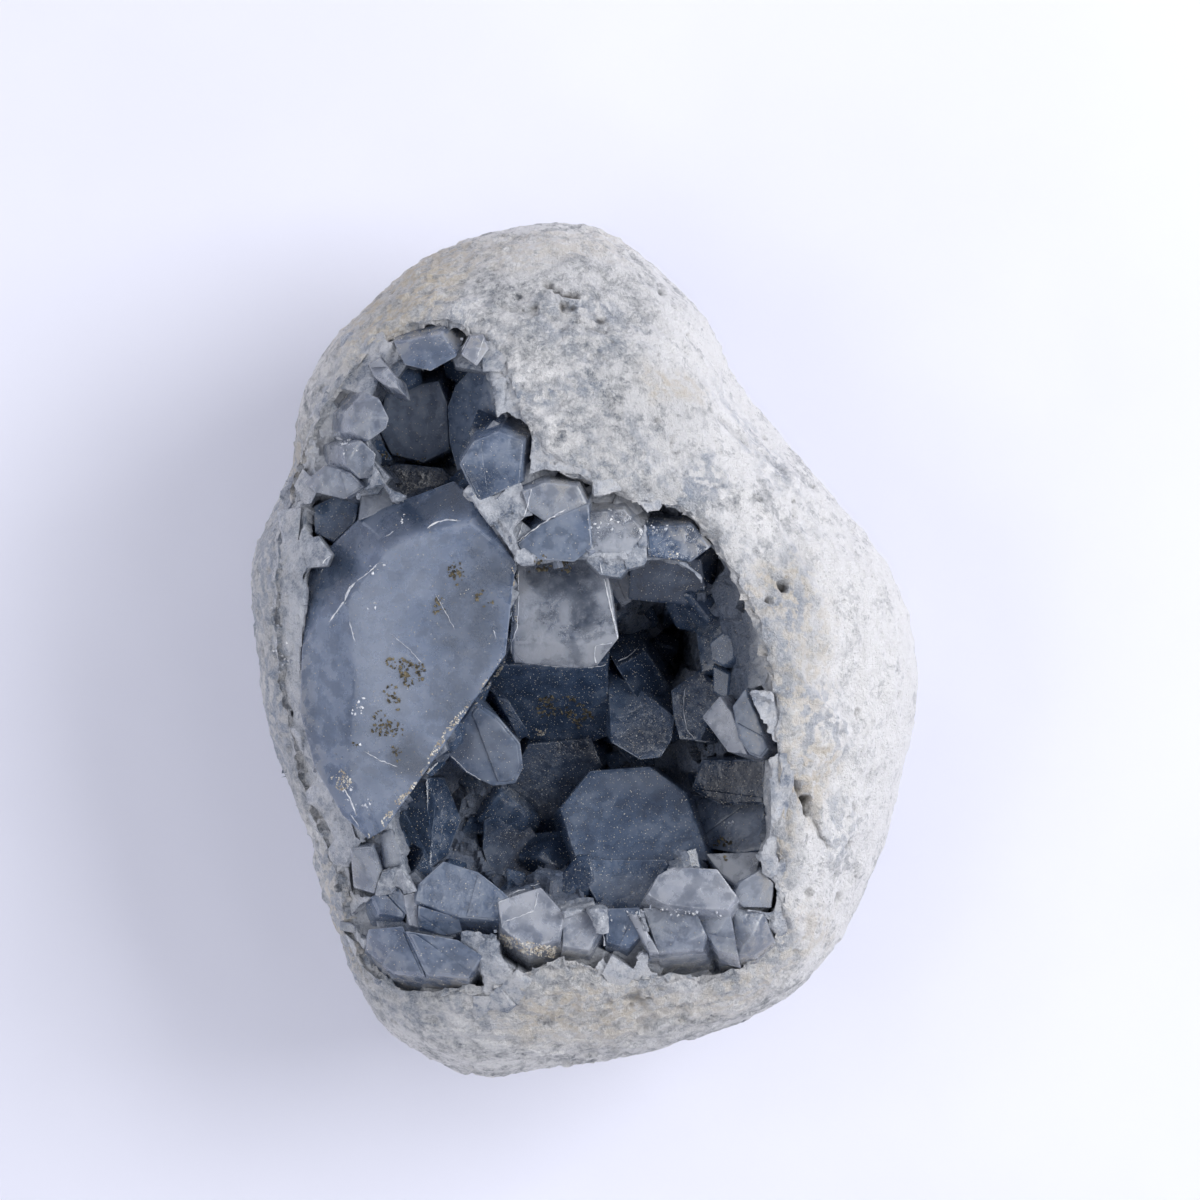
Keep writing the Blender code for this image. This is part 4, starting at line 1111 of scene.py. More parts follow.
def on_a_slope(x, y):
    """Whether a plan point lies over one of the sloping walls."""
    for corners in SLOPING_WALLS:
        low_x, high_x = min(c[0] for c in corners), max(c[0] for c in corners)
        low_y, high_y = min(c[1] for c in corners), max(c[1] for c in corners)
        if low_x < x < high_x and low_y < y < high_y:
            return True
    return False


def seen_from_above(surfaces, x, y):
    """The highest point of the surfaces over a plan point."""
    return surfaces.ray_cast(Vector((x, y, SKY_HEIGHT)), Vector((0, 0, -1)))[0]


def paving_seeds(dice):
    """Scattered places in plan, closer together in some parts than in others."""
    seeds = []
    for _ in range(PAVING_TRIES):
        x, y = (dice.uniform(*span) for span in PAVING_SPAN)
        share = 0.5 + 0.5 * noise.noise(Vector((x, y, 0)) / PAVING_LUMPS)
        gap = PAVING_GAPS[0] + (PAVING_GAPS[1] - PAVING_GAPS[0]) * share
        if all(math.hypot(x - a, y - b) > gap for a, b in seeds):
            seeds.append((x, y))
    return seeds


def cell_round(seed, seeds):
    """The plan outline of all that is nearer to one seed than to the others."""
    x, y = seed
    reach = 2 * PAVING_GAPS[1]
    outline = [(x + a * reach, y + b * reach) for a, b in ((-1, -1), (1, -1), (1, 1), (-1, 1))]
    for other in seeds:
        if other != seed and math.hypot(other[0] - x, other[1] - y) < 2 * reach:
            across = (x - other[0], y - other[1])
            limit = (x * x + y * y - other[0] ** 2 - other[1] ** 2) / 2
            outline = clipped(outline, across, limit)
    return outline


def paving_crystals():
    """Worn crystals side by side over all the mass that is not hollow, with their finishes."""
    dice = random.Random(12)
    named = new_object("named", hull(GREAT_CRYSTAL))
    builders = [hull(points) for _, points in itertools.islice(all_crystals(), 1, None)]
    others = group("named_others", builders)
    boolean(named, "UNION", others)
    settle(named)
    below = BVHTree.FromObject(named, bpy.context.evaluated_depsgraph_get())
    discard(named, others)
    seeds = paving_seeds(dice)
    places = np.array([(x, y, 0.0) for x, y in seeds])
    outside = outside_pocket(places)
    for seed, past in zip(seeds, outside):
        x, y = seed
        top = stone_top(x, y)
        slope_x = stone_top(x + 0.5, y) - stone_top(x - 0.5, y)
        slope_y = stone_top(x, y + 0.5) - stone_top(x, y - 0.5)
        steep = math.hypot(slope_x, slope_y)
        reach = PAVING_REACH if x < RIGHT_SIDE else PAVING_REACH_RIGHT
        if past > reach or steep > PAVING_STEEPEST or in_a_hollow(x, y, top - 1.2):
            continue
        if on_a_slope(x, y) or in_the_bare(x, y):
            continue
        outline = cell_round(seed, seeds)
        stretch = math.sqrt(1 + steep * steep)
        height = top - stretch * (PAVING_DEPTH - dice.uniform(*PAVING_STEPS))
        slope_x += dice.uniform(-PAVING_TILT, PAVING_TILT) * stretch
        slope_y += dice.uniform(-PAVING_TILT, PAVING_TILT) * stretch
        drop = 0.0
        sides = zip(outline, outline[1:] + outline[:1])
        edges = [((a + c) / 2, (b + d) / 2) for (a, b), (c, d) in sides]
        for a, b in outline + edges + [seed]:
            face = height + slope_x * (a - x) + slope_y * (b - y)
            hit = seen_from_above(below, a, b)
            if hit and face - PAVING_SIGHT < hit.z:
                drop = max(drop, face - hit.z + PAVING_CLEAR)
        if drop > PAVING_LOWEST:
            continue
        points = []
        for spread, fall in PAVING_RINGS:
            for a, b in outline:
                out_x, out_y = (a - x) * spread, (b - y) * spread
                face = height + slope_x * out_x + slope_y * out_y
                if spread > 1:
                    face = min(face, stone_top(x + out_x, y + out_y) - PAVING_GROOVE * stretch)
                points.append((x + out_x, y + out_y, face - drop - fall * stretch))
        yield "worn", points


def worn_crystal(points, rounds=2):
    """A builder for one flat-faced crystal with narrow worn edges."""
    flat = hull(points)

    def build(shape):
        flat(shape)
        bmesh.ops.dissolve_limit(
            shape, angle_limit=math.radians(2), verts=shape.verts, edges=shape.edges
        )
        bmesh.ops.recalc_face_normals(shape, faces=shape.faces)
        sharp = [edge for edge in shape.edges if rounds and edge.calc_face_angle(0) > EDGE_ANGLE]
        bmesh.ops.bevel(
            shape, geom=sharp, offset=EDGE_WIDTH, offset_type="OFFSET", segments=max(rounds, 1),
            profile=0.5, affect="EDGES", clamp_overlap=True,
        )
        bmesh.ops.triangulate(shape, faces=shape.faces)

    return build


def rounds_for(family):
    """How finely a crystal's edges are rounded: named ones most, paving not at all."""
    if family < PAVING_FAMILY:
        return 2
    return 1 if family >= WALL_FAMILY else 0


def join_crystals(name, corners):
    """Several crystals grown into one solid."""
    builders = [worn_crystal(points, rounds_for(family)) for family, points in corners]
    joined = new_object(name, builders[0])
    if len(builders) > 1:
        others = group(name + "_others", builders[1:])
        boolean(joined, "UNION", others)
        settle(joined)
        discard(others)
    return joined


def refine(mesh, longest):
    """Halves the long edges of the faces that look up, until none is longer than the length."""
    shape = bmesh.new()
    shape.from_mesh(mesh)
    bmesh.ops.triangulate(shape, faces=shape.faces)
    for _ in range(7):
        shape.normal_update()
        long_edges = [
            edge for edge in shape.edges
            if edge.calc_length() > longest and any(face.normal.z > 0.3 for face in edge.link_faces)
        ]
        if not long_edges:
            break
        bmesh.ops.subdivide_edges(shape, edges=long_edges, cuts=1)
        bmesh.ops.triangulate(shape, faces=[f for f in shape.faces if len(f.verts) > 3])
    shape.to_mesh(mesh)
    shape.free()


def planes_of(points, rounds):
    """The planes of one worn crystal, and which of them are its worn edges."""
    shape = bmesh.new()
    worn_crystal(points, rounds)(shape)
    bmesh.ops.recalc_face_normals(shape, faces=shape.faces)
    large = [face for face in shape.faces if face.calc_area() > 0.0]
    normals = np.array([face.normal for face in large])
    offsets = np.array([face.normal.dot(face.verts[0].co) for face in large])
    widths = np.array([min(edge.calc_length() for edge in face.edges) for face in large])
    shape.free()
    return normals, offsets, widths < 1.6 * EDGE_WIDTH


def mark_crystals(mesh, corners, seed):
    """Gives each crystal a tone, and each flat face a slighter one, and marks the worn edges."""
    dice = random.Random(seed)
    centres = np.array([face.center for face in mesh.polygons])
    tone = np.full(len(centres), 0.5)
    worn = np.zeros(len(centres))
    family_tones = {}
    for family, points in corners:
        normals, offsets, narrow = planes_of(points, rounds_for(family))
        apart = centres @ normals.T - offsets
        nearest = np.abs(apart).argmin(axis=1)
        lies_on = np.abs(apart.max(axis=1)) < 0.03
        faces = np.array([dice.random() for _ in normals])
        own = family_tones.setdefault(family, dice.random())
        tone[lies_on] = 0.65 * own + 0.35 * faces[nearest[lies_on]]
        worn[lies_on] = narrow[nearest[lies_on]]
    for name, values in (("tone", tone), ("worn", worn)):
        layer = mesh.attributes.new(name, "FLOAT", "FACE")
        layer.data.foreach_set("value", values.astype(np.float32))


def mark_rim(mesh):
    """Marks where crystals run out towards the rind, and how deep in the hollows they lie."""
    points = points_of(mesh)
    inner = ease(under_top(points), 3.0, 9.0)
    mark(mesh, "rim", ease(outside_pocket(points), -5.5, 0.5) * (1 - inner))
    # deep: the frosted paint of the pavement darkens with it as painted shade
    mark(mesh, "deep", inner)


def flat_faced(mesh):
    """Keeps flat faces crisp, and rounds the shading of the worn edges."""
    mesh.shade_smooth()
    mesh.set_sharp_from_angle(angle=math.radians(24))


# White breaks and scratches on the crystals, and bright lips on the clear plate that are partly painted
# highlights, by lines in plan.
# Columns: name, width, line
WHITE_LINES = (
    ("ridge_low", 0.42, ((-36.6, 4.1), (-35.4, 5.6), (-34.2, 7.2))),
    ("ridge_bend", 0.55, ((-34.2, 7.2), (-33.6, 8.6), (-32.6, 9.9))),
    ("ridge_high", 0.3, ((-32.4, 10.0), (-30.6, 11.2), (-29.2, 12.6))),
    ("scratch_left", 0.26, ((-33.4, 4.2), (-33.1, 2.8), (-32.6, 1.4))),
    ("upper_curve", 0.36, ((-22.1, 17.6), (-20.6, 18.5), (-19.0, 18.7), (-17.3, 18.6))),
    ("band_scratch", 0.3, ((-38.0, 11.4), (-37.2, 13.0), (-35.6, 14.2))),
    ("band_streak", 0.2, ((-28.4, 16.3), (-27.0, 17.2))),
    ("right_tick", 0.22, ((-12.7, 3.2), (-12.3, 1.9))),
    ("foot_break", 0.2, ((-31.2, -14.4), (-28.8, -15.6), (-26.4, -16.4))),
    ("foot_streak", 0.4, ((-34.6, -19.3), (-33.3, -21.4), (-32.6, -23.6))),
    ("foot_streak_low", 0.3, ((-33.4, -23.4), (-32.2, -25.2))),
    ("middle_streak", 0.12, ((-21.0, 8.2), (-19.4, 5.4), (-18.2, 3.2))),
    ("middle_streak_low", 0.12, ((-27.4, 2.6), (-24.6, 0.2), (-23.0, -1.6))),
    ("plate_lip", 0.3, ((-10.2, -1.5), (-5.8, -2.2), (-0.8, -2.5), (1.6, -2.5))),
    ("thin_lip", 0.22, ((1.6, -2.5), (4.6, -1.8), (6.6, -0.9), (8.0, 0.3))),
    ("plate_left", 0.2, ((-9.2, 11.4), (-9.2, 7.0), (-9.4, 3.6), (-10.2, 1.2), (-10.3, -1.2))),
    ("plate_right", 0.3, ((2.4, 12.6), (3.2, 9.4), (4.2, 5.0), (4.9, 1.8))),
    ("plate_notch", 0.24, ((5.0, 1.5), (3.2, 1.1), (1.8, 0.9), (1.6, -0.4), (1.9, -2.2))),
    ("hook", 0.22, ((14.9, -5.6), (14.6, -8.4), (15.0, -11.4), (16.4, -13.2), (18.6, -13.4))),
    ("knob_edge", 0.16, ((-19.8, -14.8), (-17.0, -17.6), (-13.4, -19.8), (-10.0, -19.4))),
    ("cube_edge", 0.22, ((-12.0, -35.9), (-9.8, -34.6), (-6.2, -33.6))),
    ("cube_ridge", 0.2, ((-6.2, -33.6), (-7.0, -37.0), (-11.2, -38.6))),
    ("far_prism_side", 0.24, ((-17.5, 43.0), (-16.3, 45.4))),
    ("far_prism_other", 0.24, ((-15.2, 42.0), (-14.2, 44.8))),
    ("wedge_line", 0.3, ((-9.2, 15.6), (-6.0, 18.0), (-2.2, 20.4))),
    ("shard_line", 0.28, ((-7.0, 24.2), (-7.9, 20.4), (-9.2, 16.2))),
)
# Small white chips round a line, and white specks painted as glints in the glint and sparkle rows.
# Columns: name, width, line
CHIP_AND_GLINT_LINES = (
    ("ridge_chips", 1.6, ((-32.0, 9.2), (-30.0, 7.0), (-30.4, 5.2))),
    ("ridge_chips_high", 1.4, ((-31.0, 11.4), (-28.4, 12.6))),
    ("band_chips", 1.2, ((-26.0, 19.6), (-24.6, 17.6))),
    ("middle_chips", 1.4, ((-32.4, -5.8), (-31.4, -6.2), (-31.6, -8.4), (-33.8, -8.6))),
    ("pit_glint", 0.9, ((-31.9, -12.8), (-31.4, -13.4))),
    ("foot_chips", 1.8, ((-34.0, -19.6), (-32.4, -22.2), (-30.2, -21.8))),
    ("upper_sparkle", 2.4, ((1.0, 17.6), (5.4, 18.4))),
    ("rim_sparkle", 1.4, ((3.0, 19.6), (8.0, 18.6), (12.0, 17.4))),
    ("left_rim", 2.6, ((-45.6, 9.2), (-44.6, 3.0), (-43.6, -3.4))),
    ("lower_right_sparkle", 1.8, ((20.6, -25.0), (23.4, -26.2))),
    ("side_rim", 2.2, ((-34.4, 31.0), (-33.2, 27.4))),
    ("row_edges", 1.2, ((2.2, -38.2), (8.8, -37.6), (16.6, -37.2), (22.4, -38.6))),
)
# Brown dust in trails and corners. Columns: name, width, line
DUST_LINES = (
    ("trail_high", 2.2, ((-27.8, -0.9), (-26.4, -1.8))),
    ("trail_high_long", 2.8, ((-26.2, -2.2), (-24.4, -2.6), (-22.6, -3.2))),
    ("trail_high_low", 2.0, ((-25.2, -3.6), (-24.2, -4.4))),
    ("trail_middle", 1.8, ((-28.2, -5.2), (-26.8, -5.8))),
    ("trail_middle_low", 2.2, ((-28.6, -7.0), (-26.2, -7.6))),
    ("trail_low", 1.8, ((-29.6, -8.6), (-28.6, -9.6))),
    ("trail_low_long", 2.4, ((-30.0, -10.4), (-27.4, -11.0), (-25.6, -10.8))),
    ("trail_lowest", 2.0, ((-27.4, -14.4), (-25.8, -14.8))),
    ("pit_left", 0.9, ((-33.0, -12.8), (-32.4, -13.8))),
    ("left_dust", 1.0, ((-36.2, -14.8), (-35.4, -15.4))),
    ("right_dust_high", 2.2, ((-18.6, 12.6), (-17.4, 9.6))),
    ("right_dust", 2.2, ((-21.0, 7.4), (-19.8, 5.4))),
    ("right_dust_low", 2.0, ((-15.0, 8.4), (-13.2, 6.2))),
    ("plate_top", 2.4, ((-8.6, 11.6), (-6.4, 12.6), (-1.6, 12.0))),
    ("side_trail", 1.2, ((-29.4, 28.8), (-24.8, 27.4), (-18.6, 27.8))),
    ("hole", 3.0, ((-7.0, -8.6), (-2.0, -8.0), (0.4, -11.0))),
    ("right_corner", 2.4, ((18.8, -28.0), (21.6, -29.4))),
)
# Pale grit along edges. Columns: name, width, line
GRIT_LINES = (
    ("sharp_edge", 0.8, (
        (-11.4, -1.2), (-15.1, -6.6), (-18.6, -10.4), (-20.9, -13.9), (-23.6, -18.8),
        (-26.5, -21.7), (-28.7, -24.6), (-30.0, -26.6))),
    ("foot_edge", 0.9, ((-30.2, -26.0), (-31.0, -27.4))),
    ("left_grains", 2.6, ((-35.6, -17.6), (-34.0, -19.6))),
    ("plate_side", 0.7, ((-9.6, 12.0), (-9.4, 4.0))),
    ("cube_foot", 2.0, ((-12.0, -41.4), (-4.0, -43.2))),
    ("tan_chip", 1.0, ((-7.2, -12.2), (-5.2, -12.6))),
    ("tan_upper", 1.6, ((11.8, 13.8), (13.6, 13.0))),
)
# Soft patches on the crystals: bands of painted shade, and hazes, paler patches partly of milky clouding
# and partly painted sheen. Columns: name, kind, x, y, half sizes, turn, strength
FACE_PATCHES = (
    ("upper_band", "band", -24.0, 19.8, 13.0, 2.8, 25, 1.0),
    ("upper_band_left", "band", -35.6, 10.8, 4.8, 3.2, 50, 1.0),
    ("upper_corner", "band", -12.2, 13.6, 3.6, 5.4, 0, 1.0),
    ("right_shade", "band", -15.6, 6.0, 4.2, 8.0, -15, 0.9),
    ("right_shade_low", "band", -18.0, -5.0, 3.2, 6.0, -35, 0.6),
    ("lower_right_shade", "band", -24.4, -15.0, 3.4, 2.6, 50, 0.9),
    ("left_edge_shade", "band", -40.4, -5.0, 1.2, 9.0, 8, 0.4),
    ("pale_spot", "haze", -23.8, 9.6, 2.4, 1.9, 20, 1.0),
    ("pale_spot_low", "haze", -16.6, -0.6, 0.8, 0.8, 0, 0.9),
    ("middle_haze", "haze", -29.5, 3.0, 4.6, 9.0, -8, 0.9),
    ("lower_haze", "haze", -27.8, -8.6, 4.4, 6.0, -25, 0.8),
    ("upper_haze", "haze", -24.4, 14.0, 5.0, 2.6, 15, 0.7),
    ("left_haze", "haze", -37.0, -4.0, 3.0, 8.0, 10, 0.6),
    ("foot_haze", "haze", -31.0, -19.5, 3.4, 3.6, -30, 0.5),
    ("plate_lower_left", "haze", -6.6, -0.2, 4.2, 1.5, 0, 1.0),
    ("plate_left", "haze", -8.4, 4.6, 1.2, 5.0, 0, 0.5),
    ("plate_right", "haze", 3.7, 6.6, 0.9, 6.0, 12, 0.9),
    ("plate_foot", "haze", 0.9, -0.9, 1.1, 1.6, 0, 0.9),
    ("plate_middle", "haze", -3.4, 5.0, 2.4, 2.0, 30, 0.4),
    ("plate_upper", "band", -3.2, 10.6, 4.4, 2.4, 0, 0.9),
    ("plate_centre", "band", 0.4, 6.0, 1.8, 3.4, 10, 0.7),
    ("giant_top", "haze", 8.2, -19.4, 6.0, 1.8, 0, 0.55),
    ("giant_left", "haze", -0.6, -23.6, 1.6, 3.0, -30, 0.4),
    ("giant_foot", "haze", 6.4, -34.0, 4.6, 1.8, 0, 0.6),
    ("knob_middle", "haze", -14.4, -14.0, 2.6, 2.0, 20, 0.9),
    ("knob_right", "haze", -10.6, -16.0, 1.2, 2.4, 0, 0.7),
    ("knob_left", "band", -17.6, -14.2, 1.8, 1.6, 0, 0.7),
    ("blade_upper", "band", 7.4, -8.4, 3.4, 4.4, 30, 0.5),
    ("lower_wall", "haze", 22.4, -24.4, 2.0, 1.6, 0, 0.8),
    ("lower_wall_dark", "band", 21.4, -27.6, 2.4, 1.2, 0, 0.9),
    ("speckled", "haze", -17.8, -34.4, 3.2, 1.6, 0, 0.4),
    ("cube_top", "haze", -8.0, -36.6, 2.6, 1.8, 0, 0.7),
    ("right_wall_dark", "band", 21.4, -19.2, 7.0, 4.4, 0, 1.0),
    ("great_low", "band", -31.4, -14.6, 5.0, 4.6, -30, 0.3),
    ("lozenge_low", "band", 16.0, -35.6, 5.0, 1.4, 0, 0.4),
    ("blade_low", "band", 8.6, -13.0, 4.4, 2.6, 0, 0.7),
    ("side_lower_dark", "band", -25.0, 24.4, 5.0, 2.0, 0, 0.7),
    ("left_wedge_dark", "band", -20.0, -39.6, 6.0, 1.6, 0, 0.5),
)
# Strips and slivers stop where the surface under them steps by more than this
STEEPEST_STEP = 1.5


def ribbon(name, lines, below, across=5, step=0.3):
    """Narrow strips of small faces on the crystals along the lines, with a clumpy chance."""
    shape = bmesh.new()
    for _, width, line in lines:
        rows = []
        for start, end in zip(line, line[1:]):
            start, end = Vector(start), Vector(end)
            side = Vector((start.y - end.y, end.x - start.x)).normalized() * width / 2
            count = max(2, round((end - start).length / step))
            for number in range(count + 1):
                middle = start.lerp(end, number / count)
                row = []
                for place in range(across):
                    spot = middle + side * (2 * place / (across - 1) - 1)
                    hit = seen_from_above(below, spot.x, spot.y)
                    row.append(shape.verts.new(hit) if hit else None)
                rows.append(row)
        for first, second in zip(rows, rows[1:]):
            for corners in zip(first, second, second[1:], first[1:]):
                heights = [corner.co.z for corner in corners if corner]
                if all(corners) and max(heights) - min(heights) < STEEPEST_STEP:
                    shape.faces.new(corners)
    drop_loose(shape)
    for face in shape.faces:
        face.normal_update()
        if face.normal.z < 0:
            face.normal_flip()
    made = kept(name, shape)
    mark(made.data, "chance", ease(rough(points_of(made.data), 0.9, 2, 71), -0.25, 0.35))
    return made


def slivers(below, material):
    """Thin white ridges that stand just proud of the crystals along the white lines, partly painted
    highlights on the plate's lips.
    """
    dice = random.Random(6)
    shape = bmesh.new()
    for _, width, line in WHITE_LINES:
        previous = None
        spots = []
        for start, end in zip(line, line[1:]):
            start, end = Vector(start), Vector(end)
            count = max(2, round((end - start).length / 0.45))
            along = (end - start).normalized()
            spots += [(start.lerp(end, number / count), along) for number in range(count)]
        spots.append((Vector(line[-1]), spots[-1][1]))
        for number, (spot, along) in enumerate(spots):
            spot = spot + Vector((dice.uniform(-0.07, 0.07), dice.uniform(-0.07, 0.07)))
            hit = seen_from_above(below, spot.x, spot.y)
            if not hit or (previous and abs(previous[0].co.z - hit.z) > STEEPEST_STEP):
                previous = None
                continue
            taper = 0.25 if number in (0, len(spots) - 1) else dice.uniform(0.5, 1.1)
            side = Vector((-along.y, along.x, 0)) * width * taper / 2
            rise = Vector((0, 0, 0.1 + 0.12 * width))
            crest = side * 0.3
            profile = (-side - rise, side - rise, crest + rise, rise - crest)
            ring = [shape.verts.new(hit + out) for out in profile]
            if previous:
                for corner in range(4):
                    following = (corner + 1) % 4
                    side_face = (previous[corner], previous[following], ring[following], ring[corner])
                    shape.faces.new(side_face)
            previous = ring
    open_edges = [edge for edge in shape.edges if edge.is_boundary]
    bmesh.ops.holes_fill(shape, edges=open_edges, sides=4)
    drop_loose(shape)
    bmesh.ops.recalc_face_normals(shape, faces=shape.faces)
    made = kept("white_slivers", shape)
    made.data.materials.append(material)
    return made


def mark_faces(mesh):
    """Paler hazes, partly painted sheen, and bands of painted shade on the crystals, where they lie on
    the real ones.
    """
    points = points_of(mesh)
    upward = ease(normals_of(mesh)[:, 2], 0.25, 0.6)
    found = {"band": np.zeros(len(points)), "haze": np.zeros(len(points))}
    for name, kind, *place in FACE_PATCHES:
        found[kind] = np.maximum(found[kind], patches(points, [(name, *place)], 1.4))
    for kind, values in found.items():
        mark(mesh, kind, values * upward)


def mark_worn(mesh):
    """What the frosted paint reads, for the worn crystals of the pavement."""
    points = points_of(mesh)
    mesh.attributes["tone"].name = "shade"
    mark(mesh, "pale", patches(points, PALE_ZONES, 2.4))
    mark(mesh, "border", np.zeros(len(points)))


# Painting

def node(tree, kind, inputs=(), **settings):
    """Adds a node with its settings; its inputs are values, or sockets to link."""
    made = tree.nodes.new(kind)
    for name, value in settings.items():
        setattr(made, name, value)
    for name, value in dict(inputs).items():
        if isinstance(value, bpy.types.NodeSocket):
            tree.links.new(value, made.inputs[name])
        else:
            made.inputs[name].default_value = value
    return made


def blend(tree, share, first, second):
    """A colour part of the way from the first to the second."""
    colours = [(*c, 1.0) if isinstance(c, tuple) and len(c) == 3 else c for c in (first, second)]
    inputs = {0: share, 6: colours[0], 7: colours[1]}
    return node(tree, "ShaderNodeMix", inputs, data_type="RGBA").outputs[2]


def reckon(tree, operation, first, second=0.0):
    """A sum, product or other simple function of two numbers, kept from 0 to 1."""
    inputs = {0: first, 1: second}
    return node(tree, "ShaderNodeMath", inputs, operation=operation, use_clamp=True).outputs[0]


def between(tree, value, low, high, least=0.0, most=1.0):
    """Eases a number from the least to the most as the value goes from low to high."""
    inputs = {"Value": value, "From Min": low, "From Max": high, "To Min": least, "To Max": most}
    made = node(tree, "ShaderNodeMapRange", inputs, interpolation_type="SMOOTHSTEP")
    return made.outputs["Result"]


def broken_by(tree, value, other, low, high, least=0.0, most=1.0):
    """A number times another, which is eased over its own range first."""
    return reckon(tree, "MULTIPLY", value, between(tree, other, low, high, least, most))


def weighed(tree, *parts):
    """The sum of several numbers, each with its weight, kept from 0 to 1."""
    total, *others = (reckon(tree, "MULTIPLY", value, weight) for value, weight in parts)
    for other in others:
        total = reckon(tree, "ADD", total, other)
    return total


def coats(tree, colour, *layers):
    """A colour under thin coats: how much there is of each, how strong it is, and its colour."""
    for amount, strength, own in layers:
        share = amount if strength == 1.0 else reckon(tree, "MULTIPLY", amount, strength)
        colour = blend(tree, share, colour, own)
    return colour


def attribute(tree, name):
    return node(tree, "ShaderNodeAttribute", attribute_name=name).outputs["Fac"]


def place_in_mm(tree):
    """The piece's own coordinates in millimetres."""
    place = node(tree, "ShaderNodeTexCoord").outputs["Object"]
    inputs = {0: place, "Scale": 1 / MM}
    return node(tree, "ShaderNodeVectorMath", inputs, operation="SCALE").outputs[0]


def noise_of(tree, place, size, detail, twist=0.0):
    """Noise with lumps of a size in millimetres."""
    inputs = {"Vector": place, "Scale": 1 / size, "Detail": detail, "Distortion": twist}
    return node(tree, "ShaderNodeTexNoise", inputs, noise_type="FBM").outputs["Fac"]


def new_group(name, inputs, outputs):
    """A shader node group with named number or vector inputs, and number outputs."""
    tree = bpy.data.node_groups.new(name, "ShaderNodeTree")
    for label, kind in inputs:
        tree.interface.new_socket(label, in_out="INPUT", socket_type=kind)
    for label in outputs:
        tree.interface.new_socket(label, in_out="OUTPUT", socket_type="NodeSocketFloat")
    return tree, tree.nodes.new("NodeGroupInput").outputs, tree.nodes.new("NodeGroupOutput").inputs


def mineral_grain_group():
    """Broad clouds, fine grain, thin veils and dark specks, as in any broken mineral."""
    tree, given, found = new_group(
        "mineral_grain",
        [("Place", "NodeSocketVector"), ("Fineness", "NodeSocketFloat")],
        ["Clouds", "Grain", "Veils", "Specks", "Crystals"],
    )
    inputs = {0: given["Place"], "Scale": given["Fineness"]}
    place = node(tree, "ShaderNodeVectorMath", inputs, operation="SCALE").outputs[0]
    clouds = noise_of(tree, place, 5.0, 3.5)
    grain = noise_of(tree, place, 0.45, 1.5)
    veils = noise_of(tree, place, 3.6, 3.0, 1.4)
    off_middle = node(tree, "ShaderNodeMath", {0: veils, 1: 0.5}, operation="SUBTRACT").outputs[0]
    ridge = reckon(tree, "ABSOLUTE", off_middle)
    inputs = {"Vector": place, "Scale": 1 / 0.8, "Randomness": 1.0}
    dots = node(tree, "ShaderNodeTexVoronoi", inputs).outputs["Distance"]
    bent = noise_of(tree, place, 1.1, 1.0)
    bent = node(tree, "ShaderNodeVectorMath", {0: place, 1: bent}, operation="ADD").outputs[0]
    inputs = {"Vector": bent, "Scale": 1 / 1.3, "Randomness": 1.0}
    cells = node(tree, "ShaderNodeTexVoronoi", inputs).outputs["Color"]
    tones = node(tree, "ShaderNodeSeparateXYZ", {0: cells}).outputs["X"]
    rare = noise_of(tree, place, 2.4, 1.0)
    specks = broken_by(tree, between(tree, dots, 0.26, 0.12), rare, 0.52, 0.62)
    for label, value in (
        ("Clouds", between(tree, clouds, 0.36, 0.64)),
        ("Grain", between(tree, grain, 0.3, 0.7)),
        ("Veils", between(tree, ridge, 0.075, 0.0)),
        ("Specks", specks),
        ("Crystals", tones),
    ):
        tree.links.new(value, found[label])
    return tree


def dust_group():
    """Fine dust that lies where a surface faces up: scattered specks, thicker in places."""
    tree, given, found = new_group(
        "settled_dust",
        [("Place", "NodeSocketVector"), ("Amount", "NodeSocketFloat")],
        ["Dust"],
    )
    inputs = {"Vector": given["Place"], "Scale": 1 / 0.45, "Randomness": 1.0}
    cells = node(tree, "ShaderNodeTexVoronoi", inputs).outputs
    chosen = node(tree, "ShaderNodeSeparateXYZ", {0: cells["Color"]}).outputs["X"]
    dots = broken_by(tree, between(tree, cells["Distance"], 0.22, 0.1), chosen, 0.45, 0.8)
    drift = between(tree, noise_of(tree, given["Place"], 3.5, 3.0), 0.42, 0.66)
    normal = node(tree, "ShaderNodeNewGeometry").outputs["Normal"]
    up = node(tree, "ShaderNodeSeparateXYZ", {0: normal}).outputs["Z"]
    specks = broken_by(tree, dots, drift, 0.0, 1.0, 0.45, 1.0)
    film = reckon(tree, "MULTIPLY", drift, 0.012)
    total = broken_by(tree, reckon(tree, "ADD", specks, film), up, 0.1, 0.6)
    tree.links.new(reckon(tree, "MULTIPLY", total, given["Amount"]), found["Dust"])
    return tree


def use_group(tree, name, inputs):
    made = tree.nodes.new("ShaderNodeGroup")
    made.node_tree = bpy.data.node_groups[name]
    for label, value in inputs.items():
        if isinstance(value, bpy.types.NodeSocket):
            tree.links.new(value, made.inputs[label])
        else:
            made.inputs[label].default_value = value
    return made.outputs


def new_paint(name):
    """A new material: its tree, its Principled shader, and its place in millimetres."""
    material = bpy.data.materials.new(name)
    material.use_nodes = True
    tree = material.node_tree
    return material, tree, tree.nodes["Principled BSDF"], place_in_mm(tree)


def bump(tree, shader, height, deep, strength):
    """Lets fine relief of a depth in millimetres catch the light."""
    inputs = {"Height": height, "Distance": deep * MM, "Strength": strength}
    tree.links.new(node(tree, "ShaderNodeBump", inputs).outputs["Normal"], shader.inputs["Normal"])


